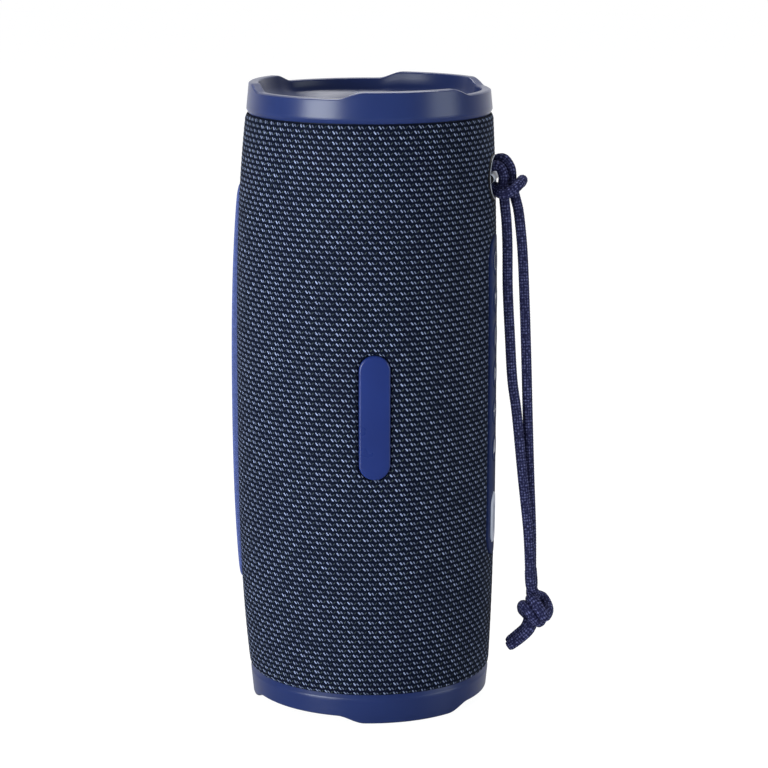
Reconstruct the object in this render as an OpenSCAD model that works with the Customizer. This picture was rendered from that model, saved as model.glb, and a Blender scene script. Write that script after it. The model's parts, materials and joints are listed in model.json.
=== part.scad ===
// Tube loudspeaker standing on end: woven sleeve, wave-rimmed end rings, key strip,
// foot strip and a braided lanyard hitched to a recessed bar.
// +Z runs up the tube, +X points at the key strip, -X at the foot strip, -Y at the listener.

/* [Body] */
// Height of the whole speaker, standing on end
total_h = 178; // [170:1:215]
// Outside radius of the woven sleeve where it meets the end rings
end_r = 34.9; // [34.5:0.1:40]
// How much fuller the sleeve is at mid height
bulge = 1.9; // [0.8:0.1:3]
// Thickness of the woven sleeve
fabric_t = 1; // [0.6:0.1:1.3]
// Wall of the slotted tube under the sleeve
grille_t = 1.8; // [1.4:0.1:2.2]
// Wall of the sealed inner housing
housing_wall = 2.2; // [1.8:0.1:2.6]

/* [End rings] */
// Height of a ring from the sleeve's edge to the crests of its rim
crest_h = 8.6; // [7.6:0.1:10]
// How far the rim drops between the crests
recess_d = 2.3; // [1:0.1:3]
// Crests round each rim
crests = 3; // [2:1:5]
// Angle of the flat low stretch between two crests
recess_deg = 54; // [30:1:60]
// Tangential length of each ramp between low stretch and crest
ramp_l = 6.6; // [4:0.2:9]
// Draft of a ring's outer wall, top to bottom
ring_draft = 0.7; // [0.2:0.1:1.2]
// Width of the rim's flat top
rim_w = 1.6; // [1:0.1:2.2]

/* [Key strip] */
// Length of the key strip
strip_l = 93; // [91:1:104]
// Width of the key strip
strip_w = 14; // [13.6:0.1:16]
// How far the key strip stands proud of the sleeve
strip_proud = 0.4; // [0.2:0.1:0.8]
// Diameter of a round key
key_d = 8; // [7:0.1:8.4]
// Distance between round keys
key_pitch = 10.8; // [10.4:0.1:11]
// Length of the power key
power_l = 15; // [13:0.5:16]
// How far a key travels
key_travel = 0.6; // [0.3:0.05:0.65]

/* [Foot strip] */
// Length of the rubber foot strip
foot_l = 109; // [90:1:120]
// Width of the rubber foot strip
foot_w = 17.4; // [15:0.2:20]
// How far the foot strip stands proud at its middle
foot_proud = 1.9; // [1:0.1:2.6]

/* [Badge] */
// Length of the blank badge
badge_l = 35.8; // [30:0.2:42]
// Width of the blank badge
badge_w = 8.7; // [7:0.1:11]
// Where the badge sits, in degrees round from the front towards the key strip
badge_deg = 13; // [10:1:16]

/* [Lanyard eyelet] */
// Distance from the sleeve's top edge down to the eyelet
eyelet_drop = 17.7; // [16.6:0.1:19]
// Inside radius of the eyelet cup
eyelet_r = 5.8; // [5.6:0.1:6.4]
// Radius of the bar across the eyelet
bar_r = 1.3; // [1:0.1:1.4]
// Diameter of the lanyard cord
cord_d = 3; // [2.4:0.1:3.2]

/* [Charging port] */
// Height of the port door's middle above the ground
port_z = 27; // [25:1:32]
// Length of the port's recess
port_l = 24; // [22:0.5:26]
// Width of the port's recess
port_w = 11; // [10:0.5:12]
// Thickness of the port door
door_t = 2; // [1.6:0.1:2.4]

/* [Drivers] */
// Distance from mid height to each front driver
driver_off = 38; // [37:1:42]
// Side of a driver's square flange
flange_w = 38; // [36:0.5:38.4]
// How far a driver cone travels each way
cone_travel = 1.5; // [0.5:0.1:1.5]
// Radius of the passive radiator's disc
disc_r = 18.6; // [17:0.1:19]
// How far a radiator disc travels each way
disc_travel = 2.5; // [1:0.1:2.5]

/* [Battery] */
// Diameter of a battery cell
cell_d = 18.3; // [18:0.1:18.6]
// Length of a battery cell
cell_l = 65; // [60:0.5:66]

/* [Hidden] */

// Clearances: seats touch or lie this far apart, moving pieces run clear by run_gap
seat_gap = 0.15;
run_gap = 0.25;
round_fn = 180;
small_fn = 48;
over = 1; // how far a cut runs past the face that it opens

// Colours, as the finished speaker shows them
ring_blue = [0.15, 0.21, 0.42];
strip_blue = [0.14, 0.18, 0.37];
foot_blue = [0.33, 0.37, 0.65];
fabric_navy = [0.09, 0.11, 0.2];
badge_blue = [0.16, 0.24, 0.51];
cord_navy = [0.16, 0.16, 0.33];
print_grey = [0.75, 0.77, 0.82];
dark_plastic = [0.13, 0.13, 0.15];
board_green = [0.05, 0.3, 0.16];
steel = [0.7, 0.71, 0.73];
black_rubber = [0.07, 0.07, 0.08];

// Overall levels
mid_z = total_h / 2;
half_fabric = mid_z - crest_h;
barrel_steps = 12;

// Stack of tubes, from the sleeve inwards
grille_out = fabric_t + seat_gap;
grille_in = grille_out + grille_t;
skirt_t = 1.4;
skirt_out_r = end_r - grille_in - seat_gap;
skirt_in_r = skirt_out_r - skirt_t;
skirt_l = 4;
housing_r = skirt_in_r - seat_gap;
bore_r = housing_r - housing_wall;
housing_drop = 5; // from the sleeve's edge to the housing's end
half_housing = half_fabric - housing_drop;

// Passive radiators, at levels above the sleeve's edge
frame_t = 2;
frame_in_r = disc_r + 5.4;
land_t = 0.8;
frame_top = frame_t - housing_drop;
land_out_r = frame_in_r + 2;
roll_r = 2.6;
roll_t = 0.7;
roll_mid_r = disc_r + roll_r;
screw_ring_r = housing_r - 2;
screw_r = 0.9;
screw_head_r = 1.6;
screw_head_t = 1.2;

// Flats on the housing that carry the strips
pad_d = 0.7;
pad_r = housing_r - pad_d;

// Key strip
strip_roof_r = end_r - 0.9;
strip_wall = 1.2;
board_t = 1.2;
switch_h = 1.6;
key_under_r = pad_r + board_t + switch_h + key_travel + 0.1;
key_flange_t = min(1, strip_roof_r - 0.1 - key_under_r);
key_proud = 0.3;
first_key = strip_l / 2 - 7.6;
power_w = key_d;
power_drop = strip_l / 2 - 10.8;
KEYS = ["tone_key", "pair_key", "minus_key", "play_key", "plus_key", "mode_key"];

// Pockets let into the housing for the eyelet and the port
pocket_wall = 2;
eyelet_z = mid_z + half_fabric - eyelet_drop;
eyelet_t = 0.6;
eyelet_proud = 0.1;
eyelet_floor_r = housing_r - 3.2;
bar_x = barrel_r(eyelet_z) - 0.74;
port_floor_r = housing_r - 4;
tray_t = 1.1;
socket_w = 9;
socket_h = 3.3;
socket_l = 7.4;
port_board_t = 1.2;
port_board_w = 12;
port_board_end = 3; // past each screw
port_post_r = 2;
port_post_l = 7;
port_screw_head_r = 1.5;
port_post_off = socket_w / 2 + port_screw_head_r + 1.4;
port_board_r = port_floor_r - port_post_l; // its outer face

// Front drivers
pocket_half = flange_w / 2 + 0.4;
baffle_y = sqrt(pow(housing_r, 2) - pow(pocket_half, 2));
baffle_t = 2.5;
driver_bore_r = flange_w / 2 - 1.6;
basket_r = driver_bore_r - 0.3;
gasket_t = 0.5;
flange_t = 1.4;
basket_depth = 10;
magnet_r = 12.5;
magnet_t = 7;
cone_r = basket_r - 3.6;
coil_r = 6.5;
coil_gap = 0.7;
flange_screw_off = flange_w / 2 - 3;
flange_land = 0.4; // left round a screw at a flange's corner
driver_zs = [mid_z + driver_off, mid_z - driver_off];

// Battery and boards
cell_r = cell_d / 2;
cell_gap = 0.25;
cradle_wall = 1.2;
cell_ring_r = bore_r - seat_gap - cradle_wall - cell_gap - cell_r;
cell_x = cell_r + 0.5;
cell_y = sqrt(pow(cell_ring_r, 2) - pow(cell_x, 2));
board_back_y = cell_y - cell_r - 2.6;
main_board_t = 1.6;
main_board_w = 28;
main_board_l = cell_l + 24;
cradle_half = cell_l / 2 + 13.5;
post_off = cell_l / 2 + 8;
battery_room = 5.6; // between the port's board and the cradle
battery_z = port_z + port_post_off + port_board_end + battery_room + cradle_half;

// Lanyard: routes of the cord's middle, as points chosen by hand
cord_sides = 8;
hitch = [[39, -1.6, 143], [39.5, -1.6, 145.8], [40.1, -1.6, 149.4], [40.2, -1.6, 153],
    [38.4, -1.6, 156], [35.4, -1.6, 155.3], [32.8, -1.6, 153.8], [31.9, -1.6, 151.5],
    [33.1, -1.7, 149.1], [36.1, -2, 148.5], [38.2, -4.2, 147.5], [40.3, -4.8, 147.9],
    [42.5, -3.8, 149.6], [43.5, 0, 151], [42.6, 3.9, 149.6], [40.3, 4.8, 147.9],
    [38.2, 4.2, 147.5], [36.1, 2, 148.5], [33.1, 1.7, 149.1], [31.9, 1.6, 151.5],
    [32.8, 1.6, 153.8], [35.4, 1.6, 155.3], [38.4, 1.6, 156], [40.2, 1.6, 153.2],
    [40.2, 1.6, 150], [41.2, 1.6, 146.6], [42.2, 1.6, 143]];
strand_a = [[39, -1.6, 143], [39.4, -1.5, 139], [39.7, -1.3, 132], [39.9, -1.2, 120],
    [40.7, -1.2, 106], [41.5, -1.2, 94], [42.9, -1.3, 84], [44.8, -1.4, 66], [46.6, -1.5, 50],
    [47.3, -1.5, 38]];
strand_b = [[42.2, 1.6, 143], [42.6, 1.5, 139], [43, 1.4, 130], [43.7, 1.3, 115],
    [44.7, 1.3, 98], [45.2, 1.3, 84], [46, 1.4, 66], [46.9, 1.5, 50], [47.3, 1.5, 38]];
knot_spine = [[47.3, 0, 38], [47.4, 0.6, 33.6], [47.9, 1.8, 30.4], [50.6, 3.4, 28.6],
    [52.2, 0.6, 25.6], [50.9, -3.2, 23.8], [48.9, -4.8, 26], [46.4, -3.8, 28.6],
    [44.2, -0.6, 28.8], [44.4, 2.6, 26.2], [46.9, 2.6, 23.2], [46.6, 0.2, 20.4],
    [43.9, 0, 17.6], [41, 0, 15.2]];
// Which way the two cords of the knot lie from its middle line, point by point
knot_lay = [[0, 1, 0], [0, 1, 0], [-0.7, 0.7, 0], [-0.6, 0.4, -0.7], [-0.6, 0.4, -0.7],
    [-0.6, 0.4, -0.7], [-0.7, 0.1, -0.7], [-0.6, -0.4, -0.7], [-0.7, -0.4, -0.6],
    [-0.8, -0.2, -0.5], [-0.6, 0.6, -0.5], [-0.5, 0.9, -0.1], [-0.2, 1, 0.2], [-0.1, 1, 0.1]];

// ---- Shared shapes ----

function barrel_r(z) = end_r + bulge * (1 - pow((z - mid_z) / half_fabric, 2));
function barrel_side(off, half, extra = 0) = [for (i = [0:barrel_steps])
    let (z = half * (2 * i / barrel_steps - 1))
    [barrel_r(mid_z + z) + off + extra * (1 - pow(z / half, 2)), z]];
function reversed(list) = [for (i = [len(list) - 1:-1:0]) list[i]];

module barrel(off, half, extra = 0)
    translate([0, 0, mid_z]) rotate_extrude($fn = round_fn)
        polygon(concat([[0, -half]], barrel_side(off, half, extra), [[0, half]]));

module barrel_shell(off, wall, half)
    translate([0, 0, mid_z]) rotate_extrude($fn = round_fn)
        polygon(concat(barrel_side(off - wall, half), reversed(barrel_side(off, half))));

// A stadium outline, long along the first axis
module pill(l, w) {
    square([l - w, w], center = true);
    for (s = [-1, 1])
        translate([s * (l - w) / 2, 0]) circle(d = w, $fn = small_fn);
}

// Children drawn flat come out at azimuth az, from radius r0 out to r1
module outward(az, z, r0, r1)
    rotate([0, 0, az]) translate([r0, 0, z]) rotate([0, 90, 0])
        linear_extrude(r1 - r0) children();

module pill_out(az, z, l, w, r0, r1) outward(az, z, r0, r1) pill(l, w);

module disc_out(az, z, r, r0, r1) outward(az, z, r0, r1) circle(r = r, $fn = small_fn);

front_az = -90;
rear_az = 90;
key_az = 0;
foot_az = 180;
badge_az = front_az + badge_deg;
far_r = end_r + 12; // past every wall of the body

// Windows through sleeve and grille, with the gap that each insert keeps
module skin_windows(gap) {
    pill_out(key_az, mid_z, strip_l + 2 * gap, strip_w + 2 * gap, bore_r, far_r);
    pill_out(foot_az, mid_z, foot_l + 2 * gap, foot_w + 2 * gap, bore_r, far_r);
    pill_out(rear_az, port_z, port_l + 2 * (tray_t + gap), port_w + 2 * (tray_t + gap), bore_r, far_r);
    disc_out(key_az, eyelet_z, eyelet_r + eyelet_t + gap, bore_r, far_r);
}

// ---- End rings ----

// Half section of a ring; height is measured up from the sleeve's edge
module ring_section() {
    lip_h = 1;
    lip_in = 0.6;
    lip_r = end_r - lip_in;
    wall_r = end_r - 0.2;
    top_r = wall_r - ring_draft;
    edge = 1.2;
    inner_r = top_r - edge - rim_w;
    foot_h = frame_top + land_t;
    polygon([[frame_in_r + 0.4, foot_h], [land_out_r, foot_h], [skirt_in_r, 2.4],
        [skirt_in_r, -skirt_l], [skirt_out_r, -skirt_l], [skirt_out_r, 0], [lip_r, 0],
        [lip_r, lip_h], [wall_r, lip_h + 0.3], [top_r, crest_h - edge],
        [top_r - 0.35, crest_h - 0.35], [top_r - edge, crest_h], [inner_r, crest_h],
        [inner_r - 0.5, crest_h - 0.6], [inner_r - 0.7, crest_h - 4.2],
        [frame_in_r + 0.4, foot_h + 1.2]]);
}

// What is taken off the rim between two crests: a low stretch with a ramp at each end
module rim_notch() {
    rim_r = end_r - ring_draft - rim_w;
    low_y = rim_r * sin(recess_deg / 2);
    crest_y = rim_r * sin(recess_deg / 2 + ramp_l / rim_r * 180 / PI);
    top_y = low_y + (crest_y - low_y) * (recess_d + over) / recess_d;
    translate([frame_in_r - 2, 0, crest_h - recess_d]) rotate([90, 0, 90])
        linear_extrude(far_r)
            polygon([[-low_y, 0], [low_y, 0], [top_y, recess_d + over],
                [-top_y, recess_d + over]]);
}

module end_ring()
    difference() {
        rotate_extrude($fn = round_fn) ring_section();
        for (i = [0:crests - 1])
            rotate([0, 0, key_az + i * 360 / crests]) rim_notch();
    }

module at_top() translate([0, 0, mid_z + half_fabric]) children();
module at_bottom() translate([0, 0, mid_z - half_fabric]) mirror([0, 0, 1]) children();

module top_end_ring() color(ring_blue) at_top() end_ring();
module bottom_end_ring() color(ring_blue) at_bottom() end_ring();

// ---- Sleeve, grille and housing ----

module fabric_sleeve()
    color(fabric_navy) difference() {
        barrel_shell(0, fabric_t, half_fabric - seat_gap);
        skin_windows(seat_gap);
        pill_out(badge_az, mid_z, badge_l + 2 * seat_gap, badge_w + 2 * seat_gap, bore_r, far_r);
    }

badge_pin_r = 0.9;
badge_pin_off = badge_l / 2 - 6;
slot_l = 12;
slot_w = 2.4;
slot_step_deg = 10;
slot_rows = 7;
slot_pitch = 17;

module grille_slots()
    for (col = [-5:5], row = [0:slot_rows - 1]) {
        z = (row - (slot_rows - 1) / 2) * slot_pitch;
        az = col * slot_step_deg;
        if (abs(az - badge_deg) > 9 || abs(z) > badge_l / 2 + slot_l / 2)
            pill_out(front_az + az, mid_z + z, slot_l, slot_w, bore_r, far_r);
    }

module grille_tube()
    color(dark_plastic) difference() {
        barrel_shell(-grille_out, grille_t, half_fabric - seat_gap);
        skin_windows(seat_gap);
        grille_slots();
        for (s = [-1, 1])
            disc_out(badge_az, mid_z + s * badge_pin_off, badge_pin_r + 0.05, bore_r, far_r);
    }

module badge_plate()
    color(badge_blue) {
        intersection() {
            barrel_shell(0.6, 0.6 + fabric_t, half_fabric - seat_gap);
            pill_out(badge_az, mid_z, badge_l, badge_w, bore_r, far_r);
        }
        for (s = [-1, 1])
            disc_out(badge_az, mid_z + s * badge_pin_off, badge_pin_r,
                end_r - grille_in, end_r + bulge - fabric_t / 2);
    }

// Boss, bore and flat layout shared by both ends of the housing
module radiator_screw_spots()
    for (end = [0, 1], a = [45:90:315])
        translate([0, 0, mid_z]) mirror([0, 0, end])
            rotate([0, 0, a]) translate([screw_ring_r, 0, half_housing]) children();

module driver_flange(side, t)
    linear_extrude(t) intersection() {
        square(side, center = true);
        circle(r = flange_screw_off * sqrt(2) + screw_r + flange_land, $fn = small_fn);
    }

// Children stand with their own +Z pointing out of the baffle at driver i
module at_driver(i)
    translate([0, -baffle_y, driver_zs[i]]) rotate([90, 0, 0]) children();

module flange_screw_spots()
    for (x = [-1, 1], y = [-1, 1])
        translate([x * flange_screw_off, y * flange_screw_off, 0]) children();

module port_post_spots()
    for (s = [-1, 1]) translate([0, 0, port_z + s * port_post_off]) rotate([-90, 0, 0]) children();

module inner_housing()
    color(dark_plastic) difference() {
        union() {
            translate([0, 0, mid_z]) difference() {
                cylinder(r = housing_r, h = 2 * half_housing, center = true, $fn = round_fn);
                cylinder(r = bore_r, h = 2 * half_housing + 2 * over, center = true, $fn = round_fn);
            }
            intersection() {
                translate([0, 0, mid_z])
                    cylinder(r = housing_r - 0.01, h = 2 * half_housing, center = true, $fn = round_fn);
                union() {
                    for (i = [0, 1]) at_driver(i) translate([0, 0, -baffle_t])
                        linear_extrude(housing_r) square(2 * pocket_half + 3, center = true);
                    outward(key_az, eyelet_z, eyelet_floor_r - pocket_wall, housing_r)
                        circle(r = eyelet_r + eyelet_t + 2, $fn = small_fn);
                    pill_out(rear_az, port_z, port_l + 2 * tray_t + 4, port_w + 2 * tray_t + 4,
                        port_floor_r - pocket_wall, housing_r);
                    port_post_spots() translate([0, 0, port_board_r])
                        cylinder(r = port_post_r, h = port_post_l - 1, $fn = small_fn);
                    radiator_screw_spots() translate([0, 0, -8])
                        cylinder(r = 2.6, h = 8, $fn = small_fn);
                }
            }
        }
        pill_out(key_az, mid_z, strip_l + 2 * seat_gap, strip_w + 2 * seat_gap, pad_r, far_r);
        pill_out(foot_az, mid_z, foot_l + 2 * seat_gap, foot_w + 2 * seat_gap, pad_r, far_r);
        disc_out(key_az, eyelet_z, eyelet_r + eyelet_t + seat_gap, eyelet_floor_r, far_r);
        pill_out(rear_az, port_z, port_l + 2 * (tray_t + seat_gap), port_w + 2 * (tray_t + seat_gap),
            port_floor_r, far_r);
        outward(rear_az, port_z, port_floor_r - pocket_wall - over, port_floor_r + over)
            square([socket_w + 0.4, socket_h + 0.4], center = true);
        port_post_spots() translate([0, 0, port_board_r - over])
            cylinder(r = 0.8, h = 4 + over, $fn = small_fn);
        for (i = [0, 1]) at_driver(i) {
            linear_extrude(housing_r) square(2 * pocket_half, center = true);
            translate([0, 0, -baffle_t - over])
                cylinder(r = driver_bore_r, h = baffle_t + 2 * over, $fn = round_fn);
            flange_screw_spots() translate([0, 0, -baffle_t - over])
                cylinder(r = screw_r, h = baffle_t + 2 * over, $fn = small_fn);
        }
        radiator_screw_spots() translate([0, 0, -6]) cylinder(r = screw_r, h = 6 + over, $fn = small_fn);
        for (s = [-1, 1]) disc_out(foot_az, mid_z + s * foot_screw_off, screw_r, bore_r - over, far_r);
    }

// ---- Key strip, keys and their board ----

function key_z(i) = mid_z + first_key - i * key_pitch;
power_z = mid_z - power_drop;

module key_strip()
    color(strip_blue) difference() {
        intersection() {
            barrel(strip_proud, half_fabric);
            pill_out(key_az, mid_z, strip_l, strip_w, pad_r, far_r);
        }
        pill_out(key_az, mid_z, strip_l - 2 * strip_wall, strip_w - 2 * strip_wall,
            pad_r - over, strip_roof_r);
        for (i = [0:len(KEYS) - 1]) disc_out(key_az, key_z(i), key_d / 2 + run_gap, pad_r, far_r);
        pill_out(key_az, power_z, power_l + 2 * run_gap, power_w + 2 * run_gap, pad_r, far_r);
    }

// A key: head shaped to the strip's own curve, on a flange that the strip holds in
module key_head(z, l, w, proud)
    color(strip_blue) {
        intersection() {
            barrel(proud, half_fabric);
            pill_out(key_az, z, l, w, key_under_r, far_r);
        }
        pill_out(key_az, z, l + 1.6, w + 1.6, key_under_r, key_under_r + key_flange_t);
    }

module small_key(i) key_head(key_z(i), key_d + 0.001, key_d, strip_proud + key_proud);

module tone_key() small_key(0);
module pair_key() small_key(1);
module minus_key() small_key(2);
module play_key() small_key(3);
module plus_key() small_key(4);
module mode_key() small_key(5);

// The power key carries a raised pill ring round a sunk slot
module power_key()
    color(print_grey) difference() {
        key_head(power_z, power_l, power_w, strip_proud + key_proud);
        pill_out(key_az, power_z, power_l / 2, power_w * 0.3, end_r + bulge - 1.6, far_r);
    }

module key_board()
    color(board_green) {
        pill_out(key_az, mid_z, strip_l - 2 * strip_wall - 0.6, strip_w - 2 * strip_wall - 0.6,
            pad_r, pad_r + board_t);
        for (z = concat([for (i = [0:len(KEYS) - 1]) key_z(i)], [power_z]))
            translate([pad_r + board_t, 0, z]) rotate([0, 90, 0]) {
                translate([0, 0, 0.5]) cube([4.5, 4.5, 1], center = true);
                cylinder(r = 1, h = switch_h, $fn = small_fn);
            }
    }

// ---- Foot strip ----

foot_roof_r = end_r - grille_in;
foot_screw_off = foot_l / 2 - 18;

module foot_strip()
    color(foot_blue) intersection() {
        difference() {
            translate([0, 0, mid_z]) rotate_extrude($fn = round_fn)
                polygon(concat([[0, -foot_l / 2]],
                    barrel_side(0.2, foot_l / 2, foot_proud - 0.2), [[0, foot_l / 2]]));
            cylinder(r = foot_roof_r - 3, h = total_h, $fn = small_fn);
        }
        pill_out(foot_az, mid_z, foot_l, foot_w, foot_roof_r, far_r);
    }

module foot_carrier()
    color(dark_plastic) difference() {
        pill_out(foot_az, mid_z, foot_l, foot_w, pad_r, foot_roof_r);
        for (s = [-1, 1]) {
            disc_out(foot_az, mid_z + s * foot_screw_off, screw_r + 0.1, pad_r - over, far_r);
            disc_out(foot_az, mid_z + s * foot_screw_off, screw_head_r + 0.2,
                foot_roof_r - screw_head_t - 0.2, far_r);
        }
    }

module foot_screws()
    color(steel) for (s = [-1, 1]) {
        disc_out(foot_az, mid_z + s * foot_screw_off, screw_r - 0.05, bore_r + 0.2, foot_roof_r - 0.5);
        disc_out(foot_az, mid_z + s * foot_screw_off, screw_head_r,
            foot_roof_r - screw_head_t - 0.2, foot_roof_r - 0.2);
    }

// ---- Lanyard eyelet ----

module eyelet()
    color(print_grey) {
        difference() {
            intersection() {
                barrel(eyelet_proud, half_fabric);
                disc_out(key_az, eyelet_z, eyelet_r + eyelet_t, eyelet_floor_r, far_r);
            }
            disc_out(key_az, eyelet_z, eyelet_r, eyelet_floor_r + eyelet_t, far_r);
        }
        translate([bar_x, 0, eyelet_z]) rotate([90, 0, 0])
            cylinder(r = bar_r, h = 2 * eyelet_r + eyelet_t / 2, center = true, $fn = small_fn);
    }

// ---- Charging port ----

door_gap = 0.3;
door_l = port_l - 2 * door_gap;
door_w = port_w - 2 * door_gap;
hinge_z = port_z + door_l / 2;
hinge_y = barrel_r(hinge_z);

module port_tray()
    color(dark_plastic) difference() {
        intersection() {
            barrel(0, half_fabric);
            pill_out(rear_az, port_z, port_l + 2 * tray_t, port_w + 2 * tray_t, port_floor_r, far_r);
        }
        pill_out(rear_az, port_z, port_l, port_w, port_floor_r + tray_t, far_r);
        outward(rear_az, port_z, port_floor_r - over, port_floor_r + tray_t + over)
            square([socket_w + 0.3, socket_h + 0.3], center = true);
    }

module port_door()
    color(black_rubber) intersection() {
        barrel(0, half_fabric);
        pill_out(rear_az, port_z, door_l, door_w, barrel_r(port_z - door_l / 2) - door_t - 0.2, far_r);
    }

module usb_socket()
    color(steel) outward(rear_az, port_z, port_floor_r + tray_t - socket_l, port_floor_r + tray_t)
        difference() {
            square([socket_w, socket_h], center = true);
            square([socket_w - 0.7, socket_h - 0.7], center = true);
        }

module port_board()
    color(board_green) {
        difference() {
            outward(rear_az, port_z, port_board_r - port_board_t, port_board_r)
                square([2 * (port_post_off + port_board_end), port_board_w], center = true);
            port_post_spots() translate([0, 0, port_board_r - port_board_t - over])
                cylinder(r = 1, h = port_board_t + 2 * over, $fn = small_fn);
        }
        outward(rear_az, port_z, port_board_r, port_floor_r + tray_t - socket_l)
            square([socket_w, socket_h], center = true);
    }

module port_screws()
    color(steel) port_post_spots() translate([0, 0, port_board_r - port_board_t - 1]) {
        cylinder(r = port_screw_head_r, h = 1, $fn = small_fn);
        cylinder(r = 0.75, h = 4.6, $fn = small_fn);
    }

// ---- Front drivers ----

module driver_gasket(i)
    color(black_rubber) at_driver(i) difference() {
        driver_flange(flange_w, gasket_t);
        translate([0, 0, -over]) cylinder(r = driver_bore_r, h = gasket_t + 2 * over, $fn = round_fn);
        flange_screw_spots() translate([0, 0, -over])
            cylinder(r = screw_r + 0.1, h = gasket_t + 2 * over, $fn = small_fn);
    }

module driver_basket(i)
    color(dark_plastic) at_driver(i) difference() {
        union() {
            translate([0, 0, gasket_t]) driver_flange(flange_w, flange_t);
            translate([0, 0, -basket_depth])
                cylinder(r1 = magnet_r + 1, r2 = basket_r, h = basket_depth + gasket_t, $fn = round_fn);
        }
        translate([0, 0, 1.2 - basket_depth])
            cylinder(r1 = magnet_r - 0.4, r2 = basket_r - 1.4, h = basket_depth, $fn = round_fn);
        translate([0, 0, -over]) cylinder(r = basket_r - 1.4, h = 6, $fn = round_fn);
        translate([0, 0, -basket_depth - over])
            cylinder(r = coil_r + 2.5, h = 3 + over, $fn = round_fn);
        for (a = [0:90:270]) rotate([0, 0, a]) translate([0, 0, -basket_depth / 2])
            rotate([0, 90, 0]) linear_extrude(flange_w) square([5, 12], center = true);
        flange_screw_spots() cylinder(r = screw_r + 0.1, h = 6, $fn = small_fn);
    }

module driver_magnet(i)
    color(steel) at_driver(i) translate([0, 0, -basket_depth]) rotate_extrude($fn = round_fn)
        polygon([[0, -magnet_t], [magnet_r, -magnet_t], [magnet_r, -1.4], [magnet_r - 1, 0],
            [coil_r + coil_gap, 0], [coil_r + coil_gap, -5.2], [coil_r - coil_gap, -5.2],
            [coil_r - coil_gap, 0], [0, 0]]);

module driver_cone(i)
    color(black_rubber) at_driver(i) rotate_extrude($fn = round_fn)
        polygon([[0, -2.6], [2.4, -2.9], [4.6, -3.8], [coil_r - 0.2, -5.2], [coil_r - 0.2, -12],
            [coil_r + 0.2, -12], [coil_r + 0.2, -5.2], [cone_r, gasket_t + flange_t - 0.6],
            [cone_r, gasket_t + flange_t], [cone_r - 0.8, gasket_t + flange_t],
            [coil_r - 0.4, -4.4], [4.4, -3.2], [2.4, -2.3], [0, -2]]);

module driver_surround(i) {
    level = gasket_t + flange_t;
    span = (basket_r - 1.4 - cone_r + 0.4) / 2;
    color(black_rubber) at_driver(i) translate([0, 0, level]) rotate_extrude($fn = round_fn) {
        translate([cone_r - 0.7, 0]) square([0.9, 0.5]);
        translate([basket_r - 1.6, 0]) square([1.8, 0.5]);
        translate([cone_r + span - 0.1, 0]) difference() {
            circle(r = span, $fn = small_fn);
            circle(r = span - 0.4, $fn = small_fn);
            translate([-span - 1, -span - 1]) square([2 * span + 2, span + 1]);
        }
    }
}

module upper_driver_gasket() driver_gasket(0);
module upper_driver_basket() driver_basket(0);
module upper_driver_magnet() driver_magnet(0);
module upper_driver_cone() driver_cone(0);
module upper_driver_surround() driver_surround(0);
module lower_driver_gasket() driver_gasket(1);
module lower_driver_basket() driver_basket(1);
module lower_driver_magnet() driver_magnet(1);
module lower_driver_cone() driver_cone(1);
module lower_driver_surround() driver_surround(1);

module driver_screws()
    color(steel) for (i = [0, 1]) at_driver(i) flange_screw_spots() {
        translate([0, 0, -baffle_t]) cylinder(r = screw_r - 0.05, h = baffle_t + 3, $fn = small_fn);
        translate([0, 0, gasket_t + flange_t]) cylinder(r = screw_head_r, h = 1.1, $fn = small_fn);
    }

// ---- Passive radiators, drawn above the sleeve's edge ----

module radiator_frame()
    color(dark_plastic) translate([0, 0, -housing_drop]) difference() {
        cylinder(r = housing_r, h = frame_t, $fn = round_fn);
        translate([0, 0, -over]) cylinder(r = frame_in_r, h = frame_t + 2 * over, $fn = round_fn);
        for (a = [45:90:315]) rotate([0, 0, a]) translate([screw_ring_r, 0, -over])
            cylinder(r = screw_r + 0.1, h = frame_t + 2 * over, $fn = small_fn);
    }

module radiator_surround()
    color(black_rubber) translate([0, 0, frame_top]) rotate_extrude($fn = round_fn) {
        translate([disc_r - 1.6, 0]) square([1.9, land_t]);
        translate([frame_in_r - 0.4, 0]) square([land_out_r - frame_in_r + 0.2, land_t]);
        translate([roll_mid_r, 0]) difference() {
            circle(r = roll_r, $fn = small_fn);
            circle(r = roll_r - roll_t, $fn = small_fn);
            translate([-roll_r - 1, -roll_r - 1]) square([2 * roll_r + 2, roll_r + 1]);
        }
    }

module radiator_disc()
    color(ring_blue) translate([0, 0, frame_top]) rotate_extrude($fn = round_fn)
        polygon([[0, -2], [disc_r, -2], [disc_r, 0], [disc_r - 1.8, 0], [disc_r - 2.2, 1.1],
            [disc_r - 2.8, 1.3], [6, 0.5], [0, 0.3]]);

module top_radiator_frame() at_top() radiator_frame();
module top_radiator_surround() at_top() radiator_surround();
module top_radiator_disc() at_top() radiator_disc();
module bottom_radiator_frame() at_bottom() radiator_frame();
module bottom_radiator_surround() at_bottom() radiator_surround();
module bottom_radiator_disc() at_bottom() radiator_disc();

module radiator_screws()
    color(steel) radiator_screw_spots() {
        translate([0, 0, -5]) cylinder(r = screw_r - 0.05, h = 5 + frame_t + 0.2, $fn = small_fn);
        translate([0, 0, frame_t]) cylinder(r = screw_head_r, h = screw_head_t, $fn = small_fn);
    }

// ---- Battery and main board ----

module cells(extra)
    for (s = [-1, 1]) translate([s * cell_x, cell_y, battery_z])
        cylinder(r = cell_r + extra, h = cell_l + 2 * extra, center = true, $fn = round_fn);

module battery_cells() color([0.2, 0.45, 0.6]) cells(0);

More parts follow.
